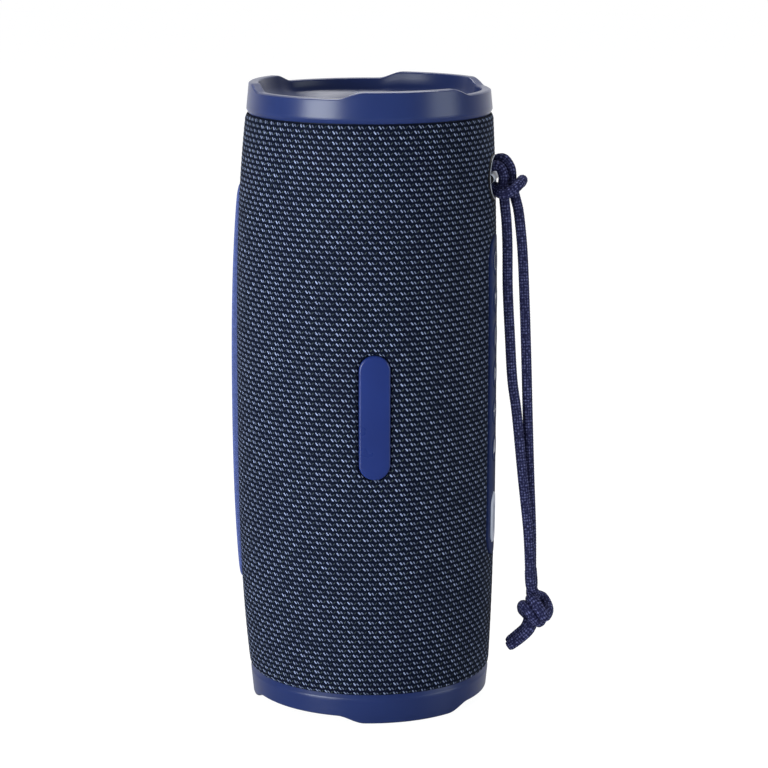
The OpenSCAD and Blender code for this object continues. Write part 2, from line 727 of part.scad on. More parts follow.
module battery_cradle()
    color(dark_plastic) difference() {
        intersection() {
            translate([0, 0, battery_z])
                cylinder(r = bore_r - seat_gap, h = 2 * cradle_half, center = true, $fn = round_fn);
            union() {
                translate([-bore_r, cell_y, battery_z - cell_l / 2 - cradle_wall])
                    cube([2 * bore_r, bore_r, cell_l + 2 * cradle_wall]);
                for (s = [-1, 1])
                    translate([0, board_back_y + bore_r / 2, battery_z + s * (cradle_half + cell_l / 2 + 0.3) / 2])
                        cube([main_board_w + 6, bore_r, cradle_half - cell_l / 2 - 0.3], center = true);
            }
        }
        cells(cell_gap);
        board_screw_spots() translate([0, 0, -6]) cylinder(r = screw_r, h = 6 + over, $fn = small_fn);
    }

module board_screw_spots()
    for (x = [-11, 11], s = [-1, 1])
        translate([x, board_back_y, battery_z + s * post_off]) rotate([90, 0, 0]) children();

module main_board()
    color(board_green) {
        difference() {
            translate([0, board_back_y - main_board_t / 2, battery_z])
                cube([main_board_w, main_board_t, main_board_l], center = true);
            board_screw_spots() translate([0, 0, -over])
                cylinder(r = screw_r + 0.1, h = main_board_t + 2 * over, $fn = small_fn);
        }
        for (part = [[-7, 8, 12, 10, 1.4], [5, 14, 9, 9, 1], [6, -6, 10, 8, 2.4], [-6, -14, 8, 8, 2.4]])
            translate([part[0], board_back_y - main_board_t - part[4] / 2, battery_z + part[1]])
                cube([part[2], part[4], part[3]], center = true);
    }

module board_screws()
    color(steel) board_screw_spots() {
        translate([0, 0, -4]) cylinder(r = screw_r - 0.05, h = 4 + main_board_t + 0.2, $fn = small_fn);
        translate([0, 0, main_board_t]) cylinder(r = screw_head_r, h = 1, $fn = small_fn);
    }

// ---- Lanyard ----

// A smooth curve through hand-chosen points, n steps from each to the next
function smooth(pts, n) = concat([for (i = [0:len(pts) - 2], k = [0:n - 1])
    let (a = pts[max(i - 1, 0)], b = pts[i], c = pts[i + 1], d = pts[min(i + 2, len(pts) - 1)],
        t = k / n)
    b + 0.5 * t * ((c - a) + t * ((2 * a - 5 * b + 4 * c - d) + t * (3 * (b - c) + d - a)))],
    [pts[len(pts) - 1]]);
function unit(v) = v / norm(v);
function heading(p, i) = unit(p[min(i + 1, len(p) - 1)] - p[max(i - 1, 0)]);
// Side vectors carried along the curve without twist
function carried(p, i, side) = let (h = heading(p, i), s = unit(side - h * (h * side)))
    i == len(p) - 1 ? [s] : concat([s], carried(p, i + 1, s));

module cord(route, n) {
    path = smooth(route, n);
    sides = carried(path, 0, [0.1, 1, 0.2]);
    last = len(path) - 1;
    points = [for (i = [0:last], k = [0:cord_sides - 1])
        let (a = 360 * k / cord_sides, up = cross(heading(path, i), sides[i]))
        path[i] + cord_d / 2 * (cos(a) * sides[i] + sin(a) * up)];
    walls = [for (i = [0:last - 1], k = [0:cord_sides - 1], t = [0, 1])
        let (a = i * cord_sides + k, b = i * cord_sides + (k + 1) % cord_sides)
        t == 0 ? [a, a + cord_sides, b] : [b, a + cord_sides, b + cord_sides]];
    ends = [for (k = [1:cord_sides - 2], t = [0, 1])
        t == 0 ? [0, k, k + 1] : [last * cord_sides, last * cord_sides + k + 1, last * cord_sides + k]];
    polyhedron(points, concat(walls, ends));
}

module lanyard_hitch() color(cord_navy) cord(hitch, 3);
module lanyard_strand_a() color(cord_navy) cord(strand_a, 2);
module lanyard_strand_b() color(cord_navy) cord(strand_b, 2);

module lanyard_end_knot()
    color(cord_navy) for (s = [-1, 1])
        cord([for (i = [0:len(knot_spine) - 1])
            knot_spine[i] + s * cord_d / 2 * unit(knot_lay[i])], 3);

top_end_ring();
bottom_end_ring();
fabric_sleeve();
grille_tube();
inner_housing();
badge_plate();
key_strip();
tone_key();
pair_key();
minus_key();
play_key();
plus_key();
mode_key();
power_key();
key_board();
foot_strip();
foot_carrier();
foot_screws();
eyelet();
port_tray();
port_door();
usb_socket();
port_board();
port_screws();
upper_driver_gasket();
upper_driver_basket();
upper_driver_magnet();
upper_driver_cone();
upper_driver_surround();
lower_driver_gasket();
lower_driver_basket();
lower_driver_magnet();
lower_driver_cone();
lower_driver_surround();
driver_screws();
top_radiator_frame();
top_radiator_surround();
top_radiator_disc();
bottom_radiator_frame();
bottom_radiator_surround();
bottom_radiator_disc();
radiator_screws();
battery_cells();
battery_cradle();
main_board();
board_screws();
lanyard_hitch();
lanyard_strand_a();
lanyard_strand_b();
lanyard_end_knot();
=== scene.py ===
"""Looks of a tube loudspeaker: woven sleeve, wave-rimmed rings, key strip, foot strip and lanyard."""

import json
import math

import bmesh
import bpy
from bpy.props import FloatProperty, FloatVectorProperty, IntProperty, PointerProperty
from mathutils import Matrix, Vector


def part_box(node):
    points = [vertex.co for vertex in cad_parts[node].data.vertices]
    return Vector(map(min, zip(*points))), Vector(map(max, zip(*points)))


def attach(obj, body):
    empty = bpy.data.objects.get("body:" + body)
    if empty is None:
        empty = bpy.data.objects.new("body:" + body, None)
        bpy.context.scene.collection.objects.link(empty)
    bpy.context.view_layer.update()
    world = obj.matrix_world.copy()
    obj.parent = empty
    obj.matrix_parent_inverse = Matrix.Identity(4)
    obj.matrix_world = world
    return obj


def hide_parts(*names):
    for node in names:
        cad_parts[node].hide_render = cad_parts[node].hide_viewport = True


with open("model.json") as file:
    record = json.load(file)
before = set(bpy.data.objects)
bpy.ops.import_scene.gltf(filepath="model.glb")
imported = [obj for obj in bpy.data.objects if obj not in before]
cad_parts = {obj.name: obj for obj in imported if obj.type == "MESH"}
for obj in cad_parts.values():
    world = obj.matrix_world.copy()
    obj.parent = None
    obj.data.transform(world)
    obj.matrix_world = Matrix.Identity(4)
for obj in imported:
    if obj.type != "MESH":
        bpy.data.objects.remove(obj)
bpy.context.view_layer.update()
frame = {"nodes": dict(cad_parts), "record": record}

bl_info = {
    "name": "Tube Loudspeaker",
    "version": (1, 0, 0),
    "blender": (4, 5, 0),
    "location": "View3D > Sidebar > Speaker",
    "description": "Models a tube loudspeaker with a woven sleeve and a cord lanyard",
    "category": "Add Mesh",
}

MM = 0.001
KEY_SIDE = 0.0  # azimuths, in degrees round from +X
REAR_SIDE = 90.0
FOOT_SIDE = 180.0

SLEEVE_LOW, SLEEVE_HIGH = (corner.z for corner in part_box("fabric_sleeve"))
RING_LOW, RING_HIGH = (corner.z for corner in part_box("top_end_ring"))
MID_Z = (SLEEVE_LOW + SLEEVE_HIGH) / 2
SLEEVE_SEAT = 0.15 * MM  # how far the sleeve's edge stops short of a ring
HALF_SLEEVE = (SLEEVE_HIGH - SLEEVE_LOW) / 2 + SLEEVE_SEAT
EDGE_Z = MID_Z + HALF_SLEEVE
SOLID_BULGE = 1.9 * MM  # how much fuller the solids' barrel is at mid height


def size(name, text, default, **limits):
    return FloatProperty(name=name, description=text, default=default, unit="LENGTH",
                         subtype="DISTANCE", precision=5, **limits)


def colour(name, text, default):
    return FloatVectorProperty(name=name, description=text, default=default, size=3,
                               min=0.0, max=1.0, subtype="COLOR")


class SpeakerSizes(bpy.types.PropertyGroup):
    """Sizes of the speaker's own pieces"""

    end_radius: size("End radius", "Radius of the sleeve at the end rings", 34.9 * MM)
    bulge: size("Bulge", "How much fuller the sleeve is at mid height", 2.3 * MM)
    lean: size("Lean", "How far the barrel's middle leans to the foot side", 0.85 * MM)
    recess_depth: size("Rim recess", "How far the rims drop between crests", 1.95 * MM)
    ring_draft: size("Ring draft", "Taper of a ring's outer wall", 0.7 * MM)
    rim_width: size("Rim width", "Width of a rim's top", 1.6 * MM)
    badge_width: size("Badge width", "Width of the blank badge", 8.7 * MM)
    badge_height: size("Badge height", "Height of the blank badge", 34.9 * MM)
    strip_proud: size("Strip height", "How far the key strip stands proud", 0.12 * MM)
    foot_length: size("Foot length", "Length of the foot strip", 116.6 * MM)
    foot_proud: size("Foot height", "How far the foot strip stands proud", 1.5 * MM)
    cord_diameter: size("Cord diameter", "Thickness of the lanyard cord", 3.0 * MM)
    weave_pitch: size("Weave pitch", "Height of one repeat of the weave", 2.82 * MM)
    weave_columns: IntProperty(name="Weave columns", description="Repeats of the weave round the sleeve",
                               default=78, min=20, max=160)


class SpeakerColours(bpy.types.PropertyGroup):
    """Colours of the speaker's finishes"""

    ring: colour("Ring", "Satin plastic of the end rings", (0.012, 0.024, 0.10))
    badge: colour("Badge", "Satin plastic of the badge", (0.009, 0.023, 0.13))
    strip: colour("Key strip", "Rubber of the key strip", (0.012, 0.022, 0.085))
    foot: colour("Foot strip", "Rubber of the foot strip", (0.07, 0.095, 0.25))
    weave_base: colour("Weave ground", "Dark yarns of the weave", (0.0020, 0.0034, 0.0095))
    weave_float: colour("Weave float", "Pale yarns of the weave", (0.31, 0.37, 0.56))
    weave_tick: colour("Weave tick", "Dim yarns of the weave", (0.06, 0.08, 0.08))
    cord: colour("Cord", "Braided yarn of the lanyard", (0.014, 0.015, 0.05))
    pale: colour("Pale plastic", "Eyelet, power key and printed signs", (0.50, 0.53, 0.62))


def sizes():
    return bpy.context.scene.speaker_sizes


def colours():
    return bpy.context.scene.speaker_colours


# ---- Finishes ----


class NodeBoard:
    """A node tree under construction, with helpers that add nodes to it."""

    def __init__(self, tree):
        self.nodes = tree.nodes
        self.links = tree.links
        self.place = self.node("ShaderNodeTexCoord").outputs["Object"]

    def node(self, kind, inputs=None, **settings):
        made = self.nodes.new(kind)
        for name, value in settings.items():
            setattr(made, name, value)
        for name, value in (inputs or {}).items():
            self.feed(made.inputs[name], value)
        return made

    def feed(self, socket, value):
        if isinstance(value, bpy.types.NodeSocket):
            self.links.new(value, socket)
        else:
            socket.default_value = value

    def math(self, operation, a, b=0.0, c=0.0, clamp=False):
        made = self.node("ShaderNodeMath", operation=operation, use_clamp=clamp)
        for socket, value in zip(made.inputs, (a, b, c)):
            self.feed(socket, value)
        return made.outputs[0]

    def ease(self, value, low, high, least=0.0):
        """The least value below low, 1 above high, smooth between."""
        made = self.node("ShaderNodeMapRange", {"Value": value, "From Min": low, "From Max": high,
                                                "To Min": least}, interpolation_type="SMOOTHSTEP")
        return made.outputs["Result"]

    def mix(self, share, a, b):
        made = self.node("ShaderNodeMix", data_type="RGBA")
        for socket, value in ((made.inputs[0], share), (made.inputs[6], a), (made.inputs[7], b)):
            self.feed(socket, (*value, 1.0) if isinstance(value, tuple) and len(value) == 3 else value)
        return made.outputs[2]

    def mix_shaders(self, share, a, b):
        made = self.node("ShaderNodeMixShader")
        for socket, value in zip(made.inputs, (share, a, b)):
            self.feed(socket, value)
        return made.outputs[0]


class Finish(NodeBoard):
    """A material under construction: a Principled shader and helpers that dress it."""

    def __init__(self, name, base, roughness, **sockets):
        self.material = bpy.data.materials.new(name)
        self.material.use_nodes = True
        self.material.diffuse_color = (*base, 1.0)
        super().__init__(self.material.node_tree)
        self.shader = self.nodes["Principled BSDF"]
        for socket, value in {"Base_Color": (*base, 1.0), "Roughness": roughness, **sockets}.items():
            self.shader.inputs[socket.replace("_", " ")].default_value = value

    def noise(self, scale, detail=3.0, place=None):
        made = self.node("ShaderNodeTexNoise", {"Vector": place or self.place, "Scale": scale,
                                                "Detail": detail})
        return made.outputs["Fac"]

    def tint(self, base, other, scale, detail=3.0):
        """Lets the base colour drift a little towards another over the surface."""
        share = self.ease(self.noise(scale, detail), 0.35, 0.65)
        self.feed(self.shader.inputs["Base Color"], self.mix(share, tuple(base), tuple(other)))

    def rough(self, low, high, scale):
        made = self.node("ShaderNodeMapRange", {"Value": self.noise(scale), "To Min": low, "To Max": high})
        self.feed(self.shader.inputs["Roughness"], made.outputs["Result"])

    def bump(self, height, strength, depth):
        made = self.node("ShaderNodeBump", {"Height": height, "Strength": strength, "Distance": depth})
        self.feed(self.shader.inputs["Normal"], made.outputs["Normal"])


def shade(colour_value, factor):
    return tuple(min(1.0, channel * factor) for channel in colour_value)


def moulded_plastic(name, base, low, high, grain=2600.0, depth=0.015 * MM):
    """Satin moulded plastic: a slow drift of colour and gloss under a fine spark grain."""
    finish = Finish(name, tuple(base), (low + high) / 2, Specular_IOR_Level=0.3)
    finish.tint(shade(base, 0.94), shade(base, 1.06), 45.0)
    finish.rough(low, high, 110.0)
    finish.bump(finish.noise(grain, 2.0), 0.35, depth)
    return finish.material


def moulded_rubber(name, base):
    """Matt rubber: soft speckle, faint dust and a fine pebbled grain."""
    finish = Finish(name, tuple(base), 0.62, Specular_IOR_Level=0.08)
    finish.tint(shade(base, 0.9), shade(base, 1.08), 900.0, 5.0)
    finish.rough(0.55, 0.7, 160.0)
    cells = finish.node("ShaderNodeTexVoronoi", {"Vector": finish.place, "Scale": 2400.0})
    finish.bump(cells.outputs["Distance"], 0.25, 0.03 * MM)
    return finish.material


def plated_metal(name, base, roughness):
    """Plated metal with fine drawn lines."""
    finish = Finish(name, tuple(base), roughness, Metallic=1.0)
    stretched = finish.node("ShaderNodeMapping", {"Vector": finish.place, "Scale": (400.0, 400.0, 6000.0)})
    lines = finish.noise(1.0, 4.0, stretched.outputs["Vector"])
    finish.feed(finish.shader.inputs["Base Color"], finish.mix(lines, shade(base, 0.85), shade(base, 1.1)))
    finish.bump(lines, 0.2, 0.01 * MM)
    return finish.material


def solder_mask(name, base):
    """Circuit board: a lacquered mask over a maze of raised tracks."""
    finish = Finish(name, tuple(base), 0.35)
    tracks = finish.node("ShaderNodeTexBrick", {"Vector": finish.place, "Scale": 420.0, "Mortar Size": 0.03})
    finish.feed(finish.shader.inputs["Base Color"],
                finish.mix(tracks.outputs["Fac"], tuple(base), shade(base, 1.9)))
    finish.bump(tracks.outputs["Fac"], 0.4, 0.03 * MM)
    return finish.material


def shrink_wrap(name, base):
    """Battery cell sleeve: glossy film with faint ripples."""
    finish = Finish(name, tuple(base), 0.25, Coat_Weight=0.4)
    finish.tint(shade(base, 0.9), shade(base, 1.1), 200.0)
    finish.bump(finish.noise(180.0), 0.2, 0.1 * MM)
    return finish.material


def weave_cells(finish):
    """Cell number, row number and place within a cell of the weave, which is wound round Z."""
    axes = finish.node("ShaderNodeSeparateXYZ", {"Vector": finish.place}).outputs
    turn = finish.math("ARCTAN2", axes["Y"], axes["X"])
    across = finish.math("MULTIPLY", turn, sizes().weave_columns / (2 * math.pi))
    up = finish.math("MULTIPLY", axes["Z"], 2 / sizes().weave_pitch)
    row = finish.math("FLOOR", up)
    odd = finish.math("MODULO", row, 2.0)
    across = finish.math("MULTIPLY_ADD", odd, 0.5, across)
    cell = finish.math("FLOOR", across)
    return cell, row, finish.math("FRACT", across), finish.math("FRACT", up)


# Each yarn float in a cell: place across it, slant in degrees, half length and half width in mm, and how
# pale it is, where 0 is the dim tick
YARN_FLOATS = (
    (0.20, 40.0, 0.33, 0.25, 1.0),
    (0.50, 40.0, 0.27, 0.21, 0.65),
    (0.82, -38.0, 0.22, 0.20, 0.0),
)


def yarn_float(finish, across, up, centre, slant, half_length, half_width):
    """How high a slanted, round-ended yarn stands at this place, from 0 to 1."""
    cell_wide = 2 * math.pi * (sizes().end_radius + sizes().bulge) / sizes().weave_columns / MM
    cell_high = sizes().weave_pitch / 2 / MM
    x = finish.math("MULTIPLY", finish.math("SUBTRACT", across, centre), cell_wide)
    y = finish.math("MULTIPLY", finish.math("SUBTRACT", up, 0.5), cell_high)
    cos, sin = math.cos(math.radians(slant)), math.sin(math.radians(slant))
    side = finish.math("ADD", finish.math("MULTIPLY", x, cos), finish.math("MULTIPLY", y, sin))
    along = finish.math("SUBTRACT", finish.math("MULTIPLY", y, cos), finish.math("MULTIPLY", x, sin))
    past = finish.math("MAXIMUM", finish.math("SUBTRACT", finish.math("ABSOLUTE", along), half_length), 0.0)
    away = finish.math("SQRT", finish.math("ADD", finish.math("MULTIPLY", side, side),
                                           finish.math("MULTIPLY", past, past)))
    return finish.math("SUBTRACT", 1.0, finish.ease(away, half_width * 0.35, half_width * 1.15))


def woven_fabric(name):
    """Two-tone weave: pairs of pale slanted floats on dark yarns, staggered row by row."""
    finish = Finish(name, tuple(colours().weave_base), 0.7, Specular_IOR_Level=0.03)
    cell, row, across, up = weave_cells(finish)
    number = finish.node("ShaderNodeCombineXYZ", {"X": cell, "Y": row})
    luck = finish.node("ShaderNodeTexWhiteNoise", {"Vector": number.outputs[0]}).outputs["Value"]
    drift = finish.ease(finish.noise(260.0, 2.0), 0.3, 0.7)
    pale, tick, height = 0.0, 0.0, 0.0
    for centre, slant, half_length, half_width, paleness in YARN_FLOATS:
        lift = yarn_float(finish, across, up, centre, slant, half_length, half_width)
        height = finish.math("MAXIMUM", height, lift)
        if paleness:
            pale = finish.math("MAXIMUM", pale, finish.math("MULTIPLY", lift, paleness))
        else:
            tick = lift
    fade = finish.math("MULTIPLY_ADD", luck, 0.45, 0.55)
    fade = finish.math("MULTIPLY", fade, finish.math("MULTIPLY_ADD", drift, 0.25, 0.75))
    ground = finish.mix(finish.noise(1500.0), tuple(colours().weave_base), shade(colours().weave_base, 2.0))
    ground = finish.mix(finish.math("MULTIPLY", tick, fade), ground, tuple(colours().weave_tick))
    cloth = finish.mix(finish.math("MULTIPLY", pale, fade), ground, tuple(colours().weave_float))
    finish.feed(finish.shader.inputs["Base Color"], cloth)
    finish.bump(height, 0.6, 0.22 * MM)
    return finish.material


def braided_yarn(name):
    """Braided cord: dark yarn whose crowns carry a painted highlight, read from the tube's own braid height.
    """
    finish = Finish(name, tuple(colours().cord), 0.7, Specular_IOR_Level=0.05)
    lift = finish.node("ShaderNodeAttribute", attribute_name="braid").outputs["Fac"]
    fuzz = finish.noise(1500.0, 5.0)
    # painted highlight: the braid's raised crowns are coloured paler, as if lit, on top of the real bump
    crown_highlight = finish.math("MULTIPLY", finish.ease(lift, 0.25, 1.0), finish.ease(fuzz, 0.40, 0.60))
    tone = finish.mix(crown_highlight, shade(colours().cord, 0.85), (0.13, 0.14, 0.30))
    finish.feed(finish.shader.inputs["Base Color"], tone)
    finish.bump(finish.math("ADD", lift, finish.math("MULTIPLY", fuzz, 0.35)), 0.5, 0.12 * MM)
    return finish.material


def finishes():
    """Every finish by name, made once."""
    makers = {
        "ring_plastic": lambda n: moulded_plastic(n, colours().ring, 0.26, 0.34),
        "badge_plastic": lambda n: moulded_plastic(n, colours().badge, 0.24, 0.34, 3200.0),
        "grey_plastic": lambda n: moulded_plastic(n, colours().pale, 0.35, 0.5),
        "dark_plastic": lambda n: moulded_plastic(n, (0.012, 0.012, 0.015), 0.4, 0.55),
        "disc_plastic": lambda n: moulded_plastic(n, (0.016, 0.02, 0.05), 0.38, 0.5, 1800.0, 0.03 * MM),
        "cone_paper": lambda n: moulded_plastic(n, (0.02, 0.02, 0.02), 0.6, 0.8, 1400.0, 0.05 * MM),
        "strip_rubber": lambda n: moulded_rubber(n, colours().strip),
        "foot_rubber": lambda n: moulded_rubber(n, colours().foot),
        "black_rubber": lambda n: moulded_rubber(n, (0.012, 0.013, 0.018)),
        "woven_fabric": woven_fabric,
        "braided_cord": braided_yarn,
        "steel": lambda n: plated_metal(n, (0.55, 0.55, 0.57), 0.28),
        "magnet": lambda n: plated_metal(n, (0.35, 0.35, 0.37), 0.35),
        "board": lambda n: solder_mask(n, (0.01, 0.1, 0.045)),
        "cell_wrap": lambda n: shrink_wrap(n, (0.03, 0.13, 0.24)),
    }
    made = {}
    for slot, make in makers.items():
        name = f"{slot}_finish"
        if name not in bpy.data.materials:
            make(name)
        made[slot] = bpy.data.materials[name]
    return made


# ---- Shared modelling helpers ----


def ease_share(value, low, high):
    """0 below low, 1 above high, smooth between."""
    share = min(1.0, max(0.0, (value - low) / (high - low)))
    return share * share * (3 - 2 * share)


def node_place(node):
    """Middle and extent of a CAD node's box."""
    low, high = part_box(node)
    return (low + high) / 2, high - low


def fullness(z):
    """How full the barrel is at a height, from 0 at the end rings to 1 in the middle."""
    return 1 - abs((z - MID_Z) / HALF_SLEEVE) ** 3


def barrel_radius(z):
    return sizes().end_radius + sizes().bulge * fullness(z)


def lean(z):
    """How far the barrel's axis stands off along X at a height."""
    return -sizes().lean * fullness(z)


def refit(bm, sink=0.0, hinged=False):
    """Moves a copy of a solid from the solid's plain barrel onto this one, and its proud face down by sink.

    A hinged piece and its seat only follow the lean, which is along the hinge's axis.
    """
    for vert in bm.verts:
        z = vert.co.z
        if hinged:
            vert.co.x += lean(z)
            continue
        plain = sizes().end_radius + SOLID_BULGE * (1 - ((z - MID_Z) / HALF_SLEEVE) ** 2)
        reach = vert.co.xy.length
        grow = (reach + barrel_radius(z) - plain - (sink if reach > plain else 0.0)) / reach
        vert.co = (vert.co.x * grow + lean(z), vert.co.y * grow, z)


def piece(name, bm, material, body="root", sharp=None):
    """Turns a finished bmesh into an object that rides on a body."""
    bmesh.ops.remove_doubles(bm, verts=bm.verts, dist=1e-7)
    bmesh.ops.recalc_face_normals(bm, faces=bm.faces)
    mesh = bpy.data.meshes.new(name)
    bm.to_mesh(mesh)
    bm.free()
    for face in mesh.polygons:
        face.use_smooth = True
    if sharp:
        mesh.set_sharp_from_angle(angle=math.radians(sharp))
    made = bpy.data.objects.new(name, mesh)
    bpy.context.scene.collection.objects.link(made)
    mesh.materials.append(finishes()[material])
    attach(made, body)
    return made


def arc(centre, radius, start, end, steps):
    """Points on an arc, by angle in degrees."""
    angles = (math.radians(start + (end - start) * i / steps) for i in range(steps + 1))
    return [(centre[0] + radius * math.cos(a), centre[1] + radius * math.sin(a)) for a in angles]


def spun(points, steps, closed):
    """Spins a half section of (radius, height) points round Z."""
    bm = bmesh.new()
    verts = [bm.verts.new((r, 0.0, z)) for r, z in points]
    edges = [bm.edges.new(pair) for pair in zip(verts, verts[1:])]
    if closed:
        edges.append(bm.edges.new((verts[-1], verts[0])))
    bmesh.ops.spin(bm, geom=verts + edges, cent=(0, 0, 0), axis=(0, 0, 1), angle=2 * math.pi,
                   steps=steps, use_merge=True)
    bmesh.ops.remove_doubles(bm, verts=bm.verts, dist=1e-7)
    return bm


def pill(bm, length, width, segments=32, cuts=0):
    """A flat stadium, long along Y, and its face."""
    flat = bmesh.ops.create_circle(bm, cap_ends=True, segments=segments, radius=width / 2,
                                   matrix=Matrix.Rotation(math.pi / segments, 4, "Z"))
    for vert in flat["verts"]:
        vert.co.y += math.copysign((length - width) / 2, vert.co.y)
    face = flat["verts"][0].link_faces[0]
    long_edges = [e for e in face.edges if e.calc_length() > 0.8 * (length - width) and length > width * 1.05]
    if cuts and long_edges:
        bmesh.ops.bisect_edges(bm, edges=long_edges, cuts=cuts)
    bm.faces.ensure_lookup_table()
    return bm.faces[0]


def stepped_slab(bm, face, profile):
    """Raises a face through (inset, height) steps and returns the last face; insets start at the outline."""
    inset_now, height_now = profile[0]
    bmesh.ops.translate(bm, verts=face.verts, vec=(0, 0, height_now))
    for inset, height in profile[1:]:
        if inset - inset_now < 1e-7:
            raised = bmesh.ops.extrude_face_region(bm, geom=[face])
            kept = [g for g in raised["geom"] if isinstance(g, bmesh.types.BMFace)]
            bmesh.ops.delete(bm, geom=[face], context="FACES_ONLY")
            face = kept[0]
        else:
            bmesh.ops.inset_region(bm, faces=[face], thickness=inset - inset_now,
                                   depth=0.0, use_even_offset=True)
        bmesh.ops.translate(bm, verts=face.verts, vec=(0, 0, height - height_now))
        inset_now, height_now = inset, height
    return face


def close_spine(bm, face):
    """Draws the narrow last face of a long slab together into a line, so that the slab can bend evenly."""
    rim = list(face.verts)
    bmesh.ops.delete(bm, geom=[face], context="FACES_ONLY")
    for vert in rim:
        vert.co.x = 0.0
    bmesh.ops.remove_doubles(bm, verts=rim, dist=1e-6)


def wrap(bm, azimuth, centre_z, lift=None):
    """Bends a flat model onto the sleeve: X goes round it, Y up it and Z out of it."""
    for vert in bm.verts:
        x, y, h = vert.co
        z = centre_z + y
        extra = lift(y) if lift else 0.0
        radius = barrel_radius(z)
        turn = math.radians(azimuth) + x / radius
        reach = radius + h + extra
        vert.co = (reach * math.cos(turn) + lean(z), reach * math.sin(turn), z)


def rounded_profile(depth, top, edge, width, steps=4):
    """Wall, rounded edge and level top of a slab whose outline is width wide."""
    points = [(0.0, -depth)] + arc((edge, top - edge), edge, 180, 90, steps)
    last = width / 2 * 0.96
    return points + [(edge + (last - edge) * share, top) for share in (0.3, 0.65, 1.0)]


# ---- Camera and stage ----

PHOTO_FOCAL = 2660.8  # pixels, on a frame 768 pixels wide
PHOTO_WIDTH = 768.0
CAMERA_AZIMUTH = 10.0  # degrees round from the front towards the key strip
CAMERA_DISTANCE = 750.0 * MM
CAMERA_HEIGHT = 156.1 * MM  # above the sleeve's middle
CAMERA_PITCH = 11.61
CAMERA_PAN = 0.32
CAMERA_ROLL = 0.08
WHITE = (1.0, 1.0, 1.0, 1.0)
ROOM_COLOUR = (0.86, 0.9, 1.0, 1.0)
ROOM_STRENGTH = 0.3
PAPER_COLOUR = (0.95, 0.95, 0.95)
DIM_SIDE = 0.2  # how white the room's camera side is in a gloss
DIM_END, WHITE_START = 0.15, 0.85  # where it turns white: metres, or a share of the sky, behind the speaker
FLOOR_GLOW = 1.08  # with the lit paper that shows through it, this comes to white
FLOOR_SHOWN = 0.9  # how much of the glow is seen; the rest is paper, which takes the shadow
FLOOR_POLISH = 0.3  # how much a gloss sees of the floor's own mirroring

# Name, degrees round from the camera, distance and height in metres, width and height of the face in metres,
# power in watts and colour
LAMPS = (
    ("left_softbox", -46.0, 1.1, 0.18, 0.62, 0.5, 16.5, (0.92, 0.97, 1.0)),
    ("right_softbox", 72.0, 1.2, 0.24, 0.6, 0.5, 4.2, (0.92, 1.0, 1.0)),
    ("top_softbox", 180.0, 0.5, 1.2, 1.0, 0.3, 13.0, (1.0, 1.0, 1.0)),
)


def softbox(name, azimuth, distance, height, wide, tall, power, tint):
    """An area lamp, placed round from the camera and turned to the speaker."""
    lamp = bpy.data.lights.new(name, "AREA")
    lamp.shape = "RECTANGLE"
    lamp.size, lamp.size_y = wide, tall
    lamp.energy = power
    lamp.color = tint
    turn = math.radians(CAMERA_AZIMUTH + azimuth)
    place = Vector((math.sin(turn) * distance, -math.cos(turn) * distance, height))
    holder = bpy.data.objects.new(name, lamp)
    aim = Vector((0, 0, MID_Z)) - place
    holder.matrix_world = Matrix.Translation(place) @ aim.to_track_quat("-Z", "Y").to_matrix().to_4x4()
    bpy.context.scene.collection.objects.link(holder)


class SPEAKER_OT_camera(bpy.types.Operator):
    """Add the camera at the photograph's viewing angle"""

    bl_idname = "speaker.camera"
    bl_label = "Camera"

    def execute(self, context):
        lens = bpy.data.cameras.new("camera")
        lens.sensor_width = 36.0
        lens.lens = PHOTO_FOCAL * lens.sensor_width / PHOTO_WIDTH
        lens.clip_start = 0.01
        camera = bpy.data.objects.new("camera", lens)
        pitch, pan = math.radians(CAMERA_PITCH), math.radians(CAMERA_PAN)
        ahead = Vector((math.sin(pan) * math.cos(pitch), math.cos(pan) * math.cos(pitch), -math.sin(pitch)))
        right = Vector((math.cos(pan), -math.sin(pan), 0.0))
        up = right.cross(ahead)
        axes = Matrix((right, up, -ahead)).transposed().to_4x4()
        place = Matrix.Translation((0.0, -CAMERA_DISTANCE, MID_Z + CAMERA_HEIGHT))
        turn = Matrix.Rotation(math.radians(CAMERA_AZIMUTH), 4, "Z")
        roll = Matrix.Rotation(math.radians(CAMERA_ROLL), 4, "Z")
        camera.matrix_world = turn @ place @ axes @ roll
        context.scene.collection.objects.link(camera)
        context.scene.camera = camera
        return {"FINISHED"}


class SPEAKER_OT_stage(bpy.types.Operator):
    """Add the pale floor, the plain world and the soft lamps"""

    bl_idname = "speaker.stage"
    bl_label = "Stage"

    def execute(self, context):
        scene = context.scene
        scene.view_settings.view_transform = "Standard"
        scene.world = plain_world()
        bm = bmesh.new()
        bmesh.ops.create_grid(bm, x_segments=8, y_segments=8, size=3.0)
        mesh = bpy.data.meshes.new("floor")
        bm.to_mesh(mesh)
        bm.free()
        floor = bpy.data.objects.new("floor", mesh)
        scene.collection.objects.link(floor)
        mesh.materials.append(floor_finish())
        for lamp in LAMPS:
            softbox(*lamp)
        return {"FINISHED"}


def seen_share(board):
    """1 for rays that see the plain backdrop, its whiteness to them, and 1 for glossy rays.

    Glosses see the backdrop dim on the camera's side.
    """
    path = board.node("ShaderNodeLightPath").outputs
    turn = math.radians(CAMERA_AZIMUTH)
    away = (-math.sin(turn), math.cos(turn), 0.0)
    behind = board.node("ShaderNodeVectorMath", {0: board.place, 1: away}, operation="DOT_PRODUCT")
    backdrop = board.ease(behind.outputs["Value"], DIM_END, WHITE_START, DIM_SIDE)
    gloss = path["Is Glossy Ray"]
    level = board.node("ShaderNodeMix", {"Factor": gloss, "A": 1.0, "B": backdrop})
    seen = board.math("MAXIMUM", path["Is Camera Ray"], gloss)
    seen = board.math("MAXIMUM", seen, path["Is Transmission Ray"])
    return seen, level.outputs["Result"], gloss


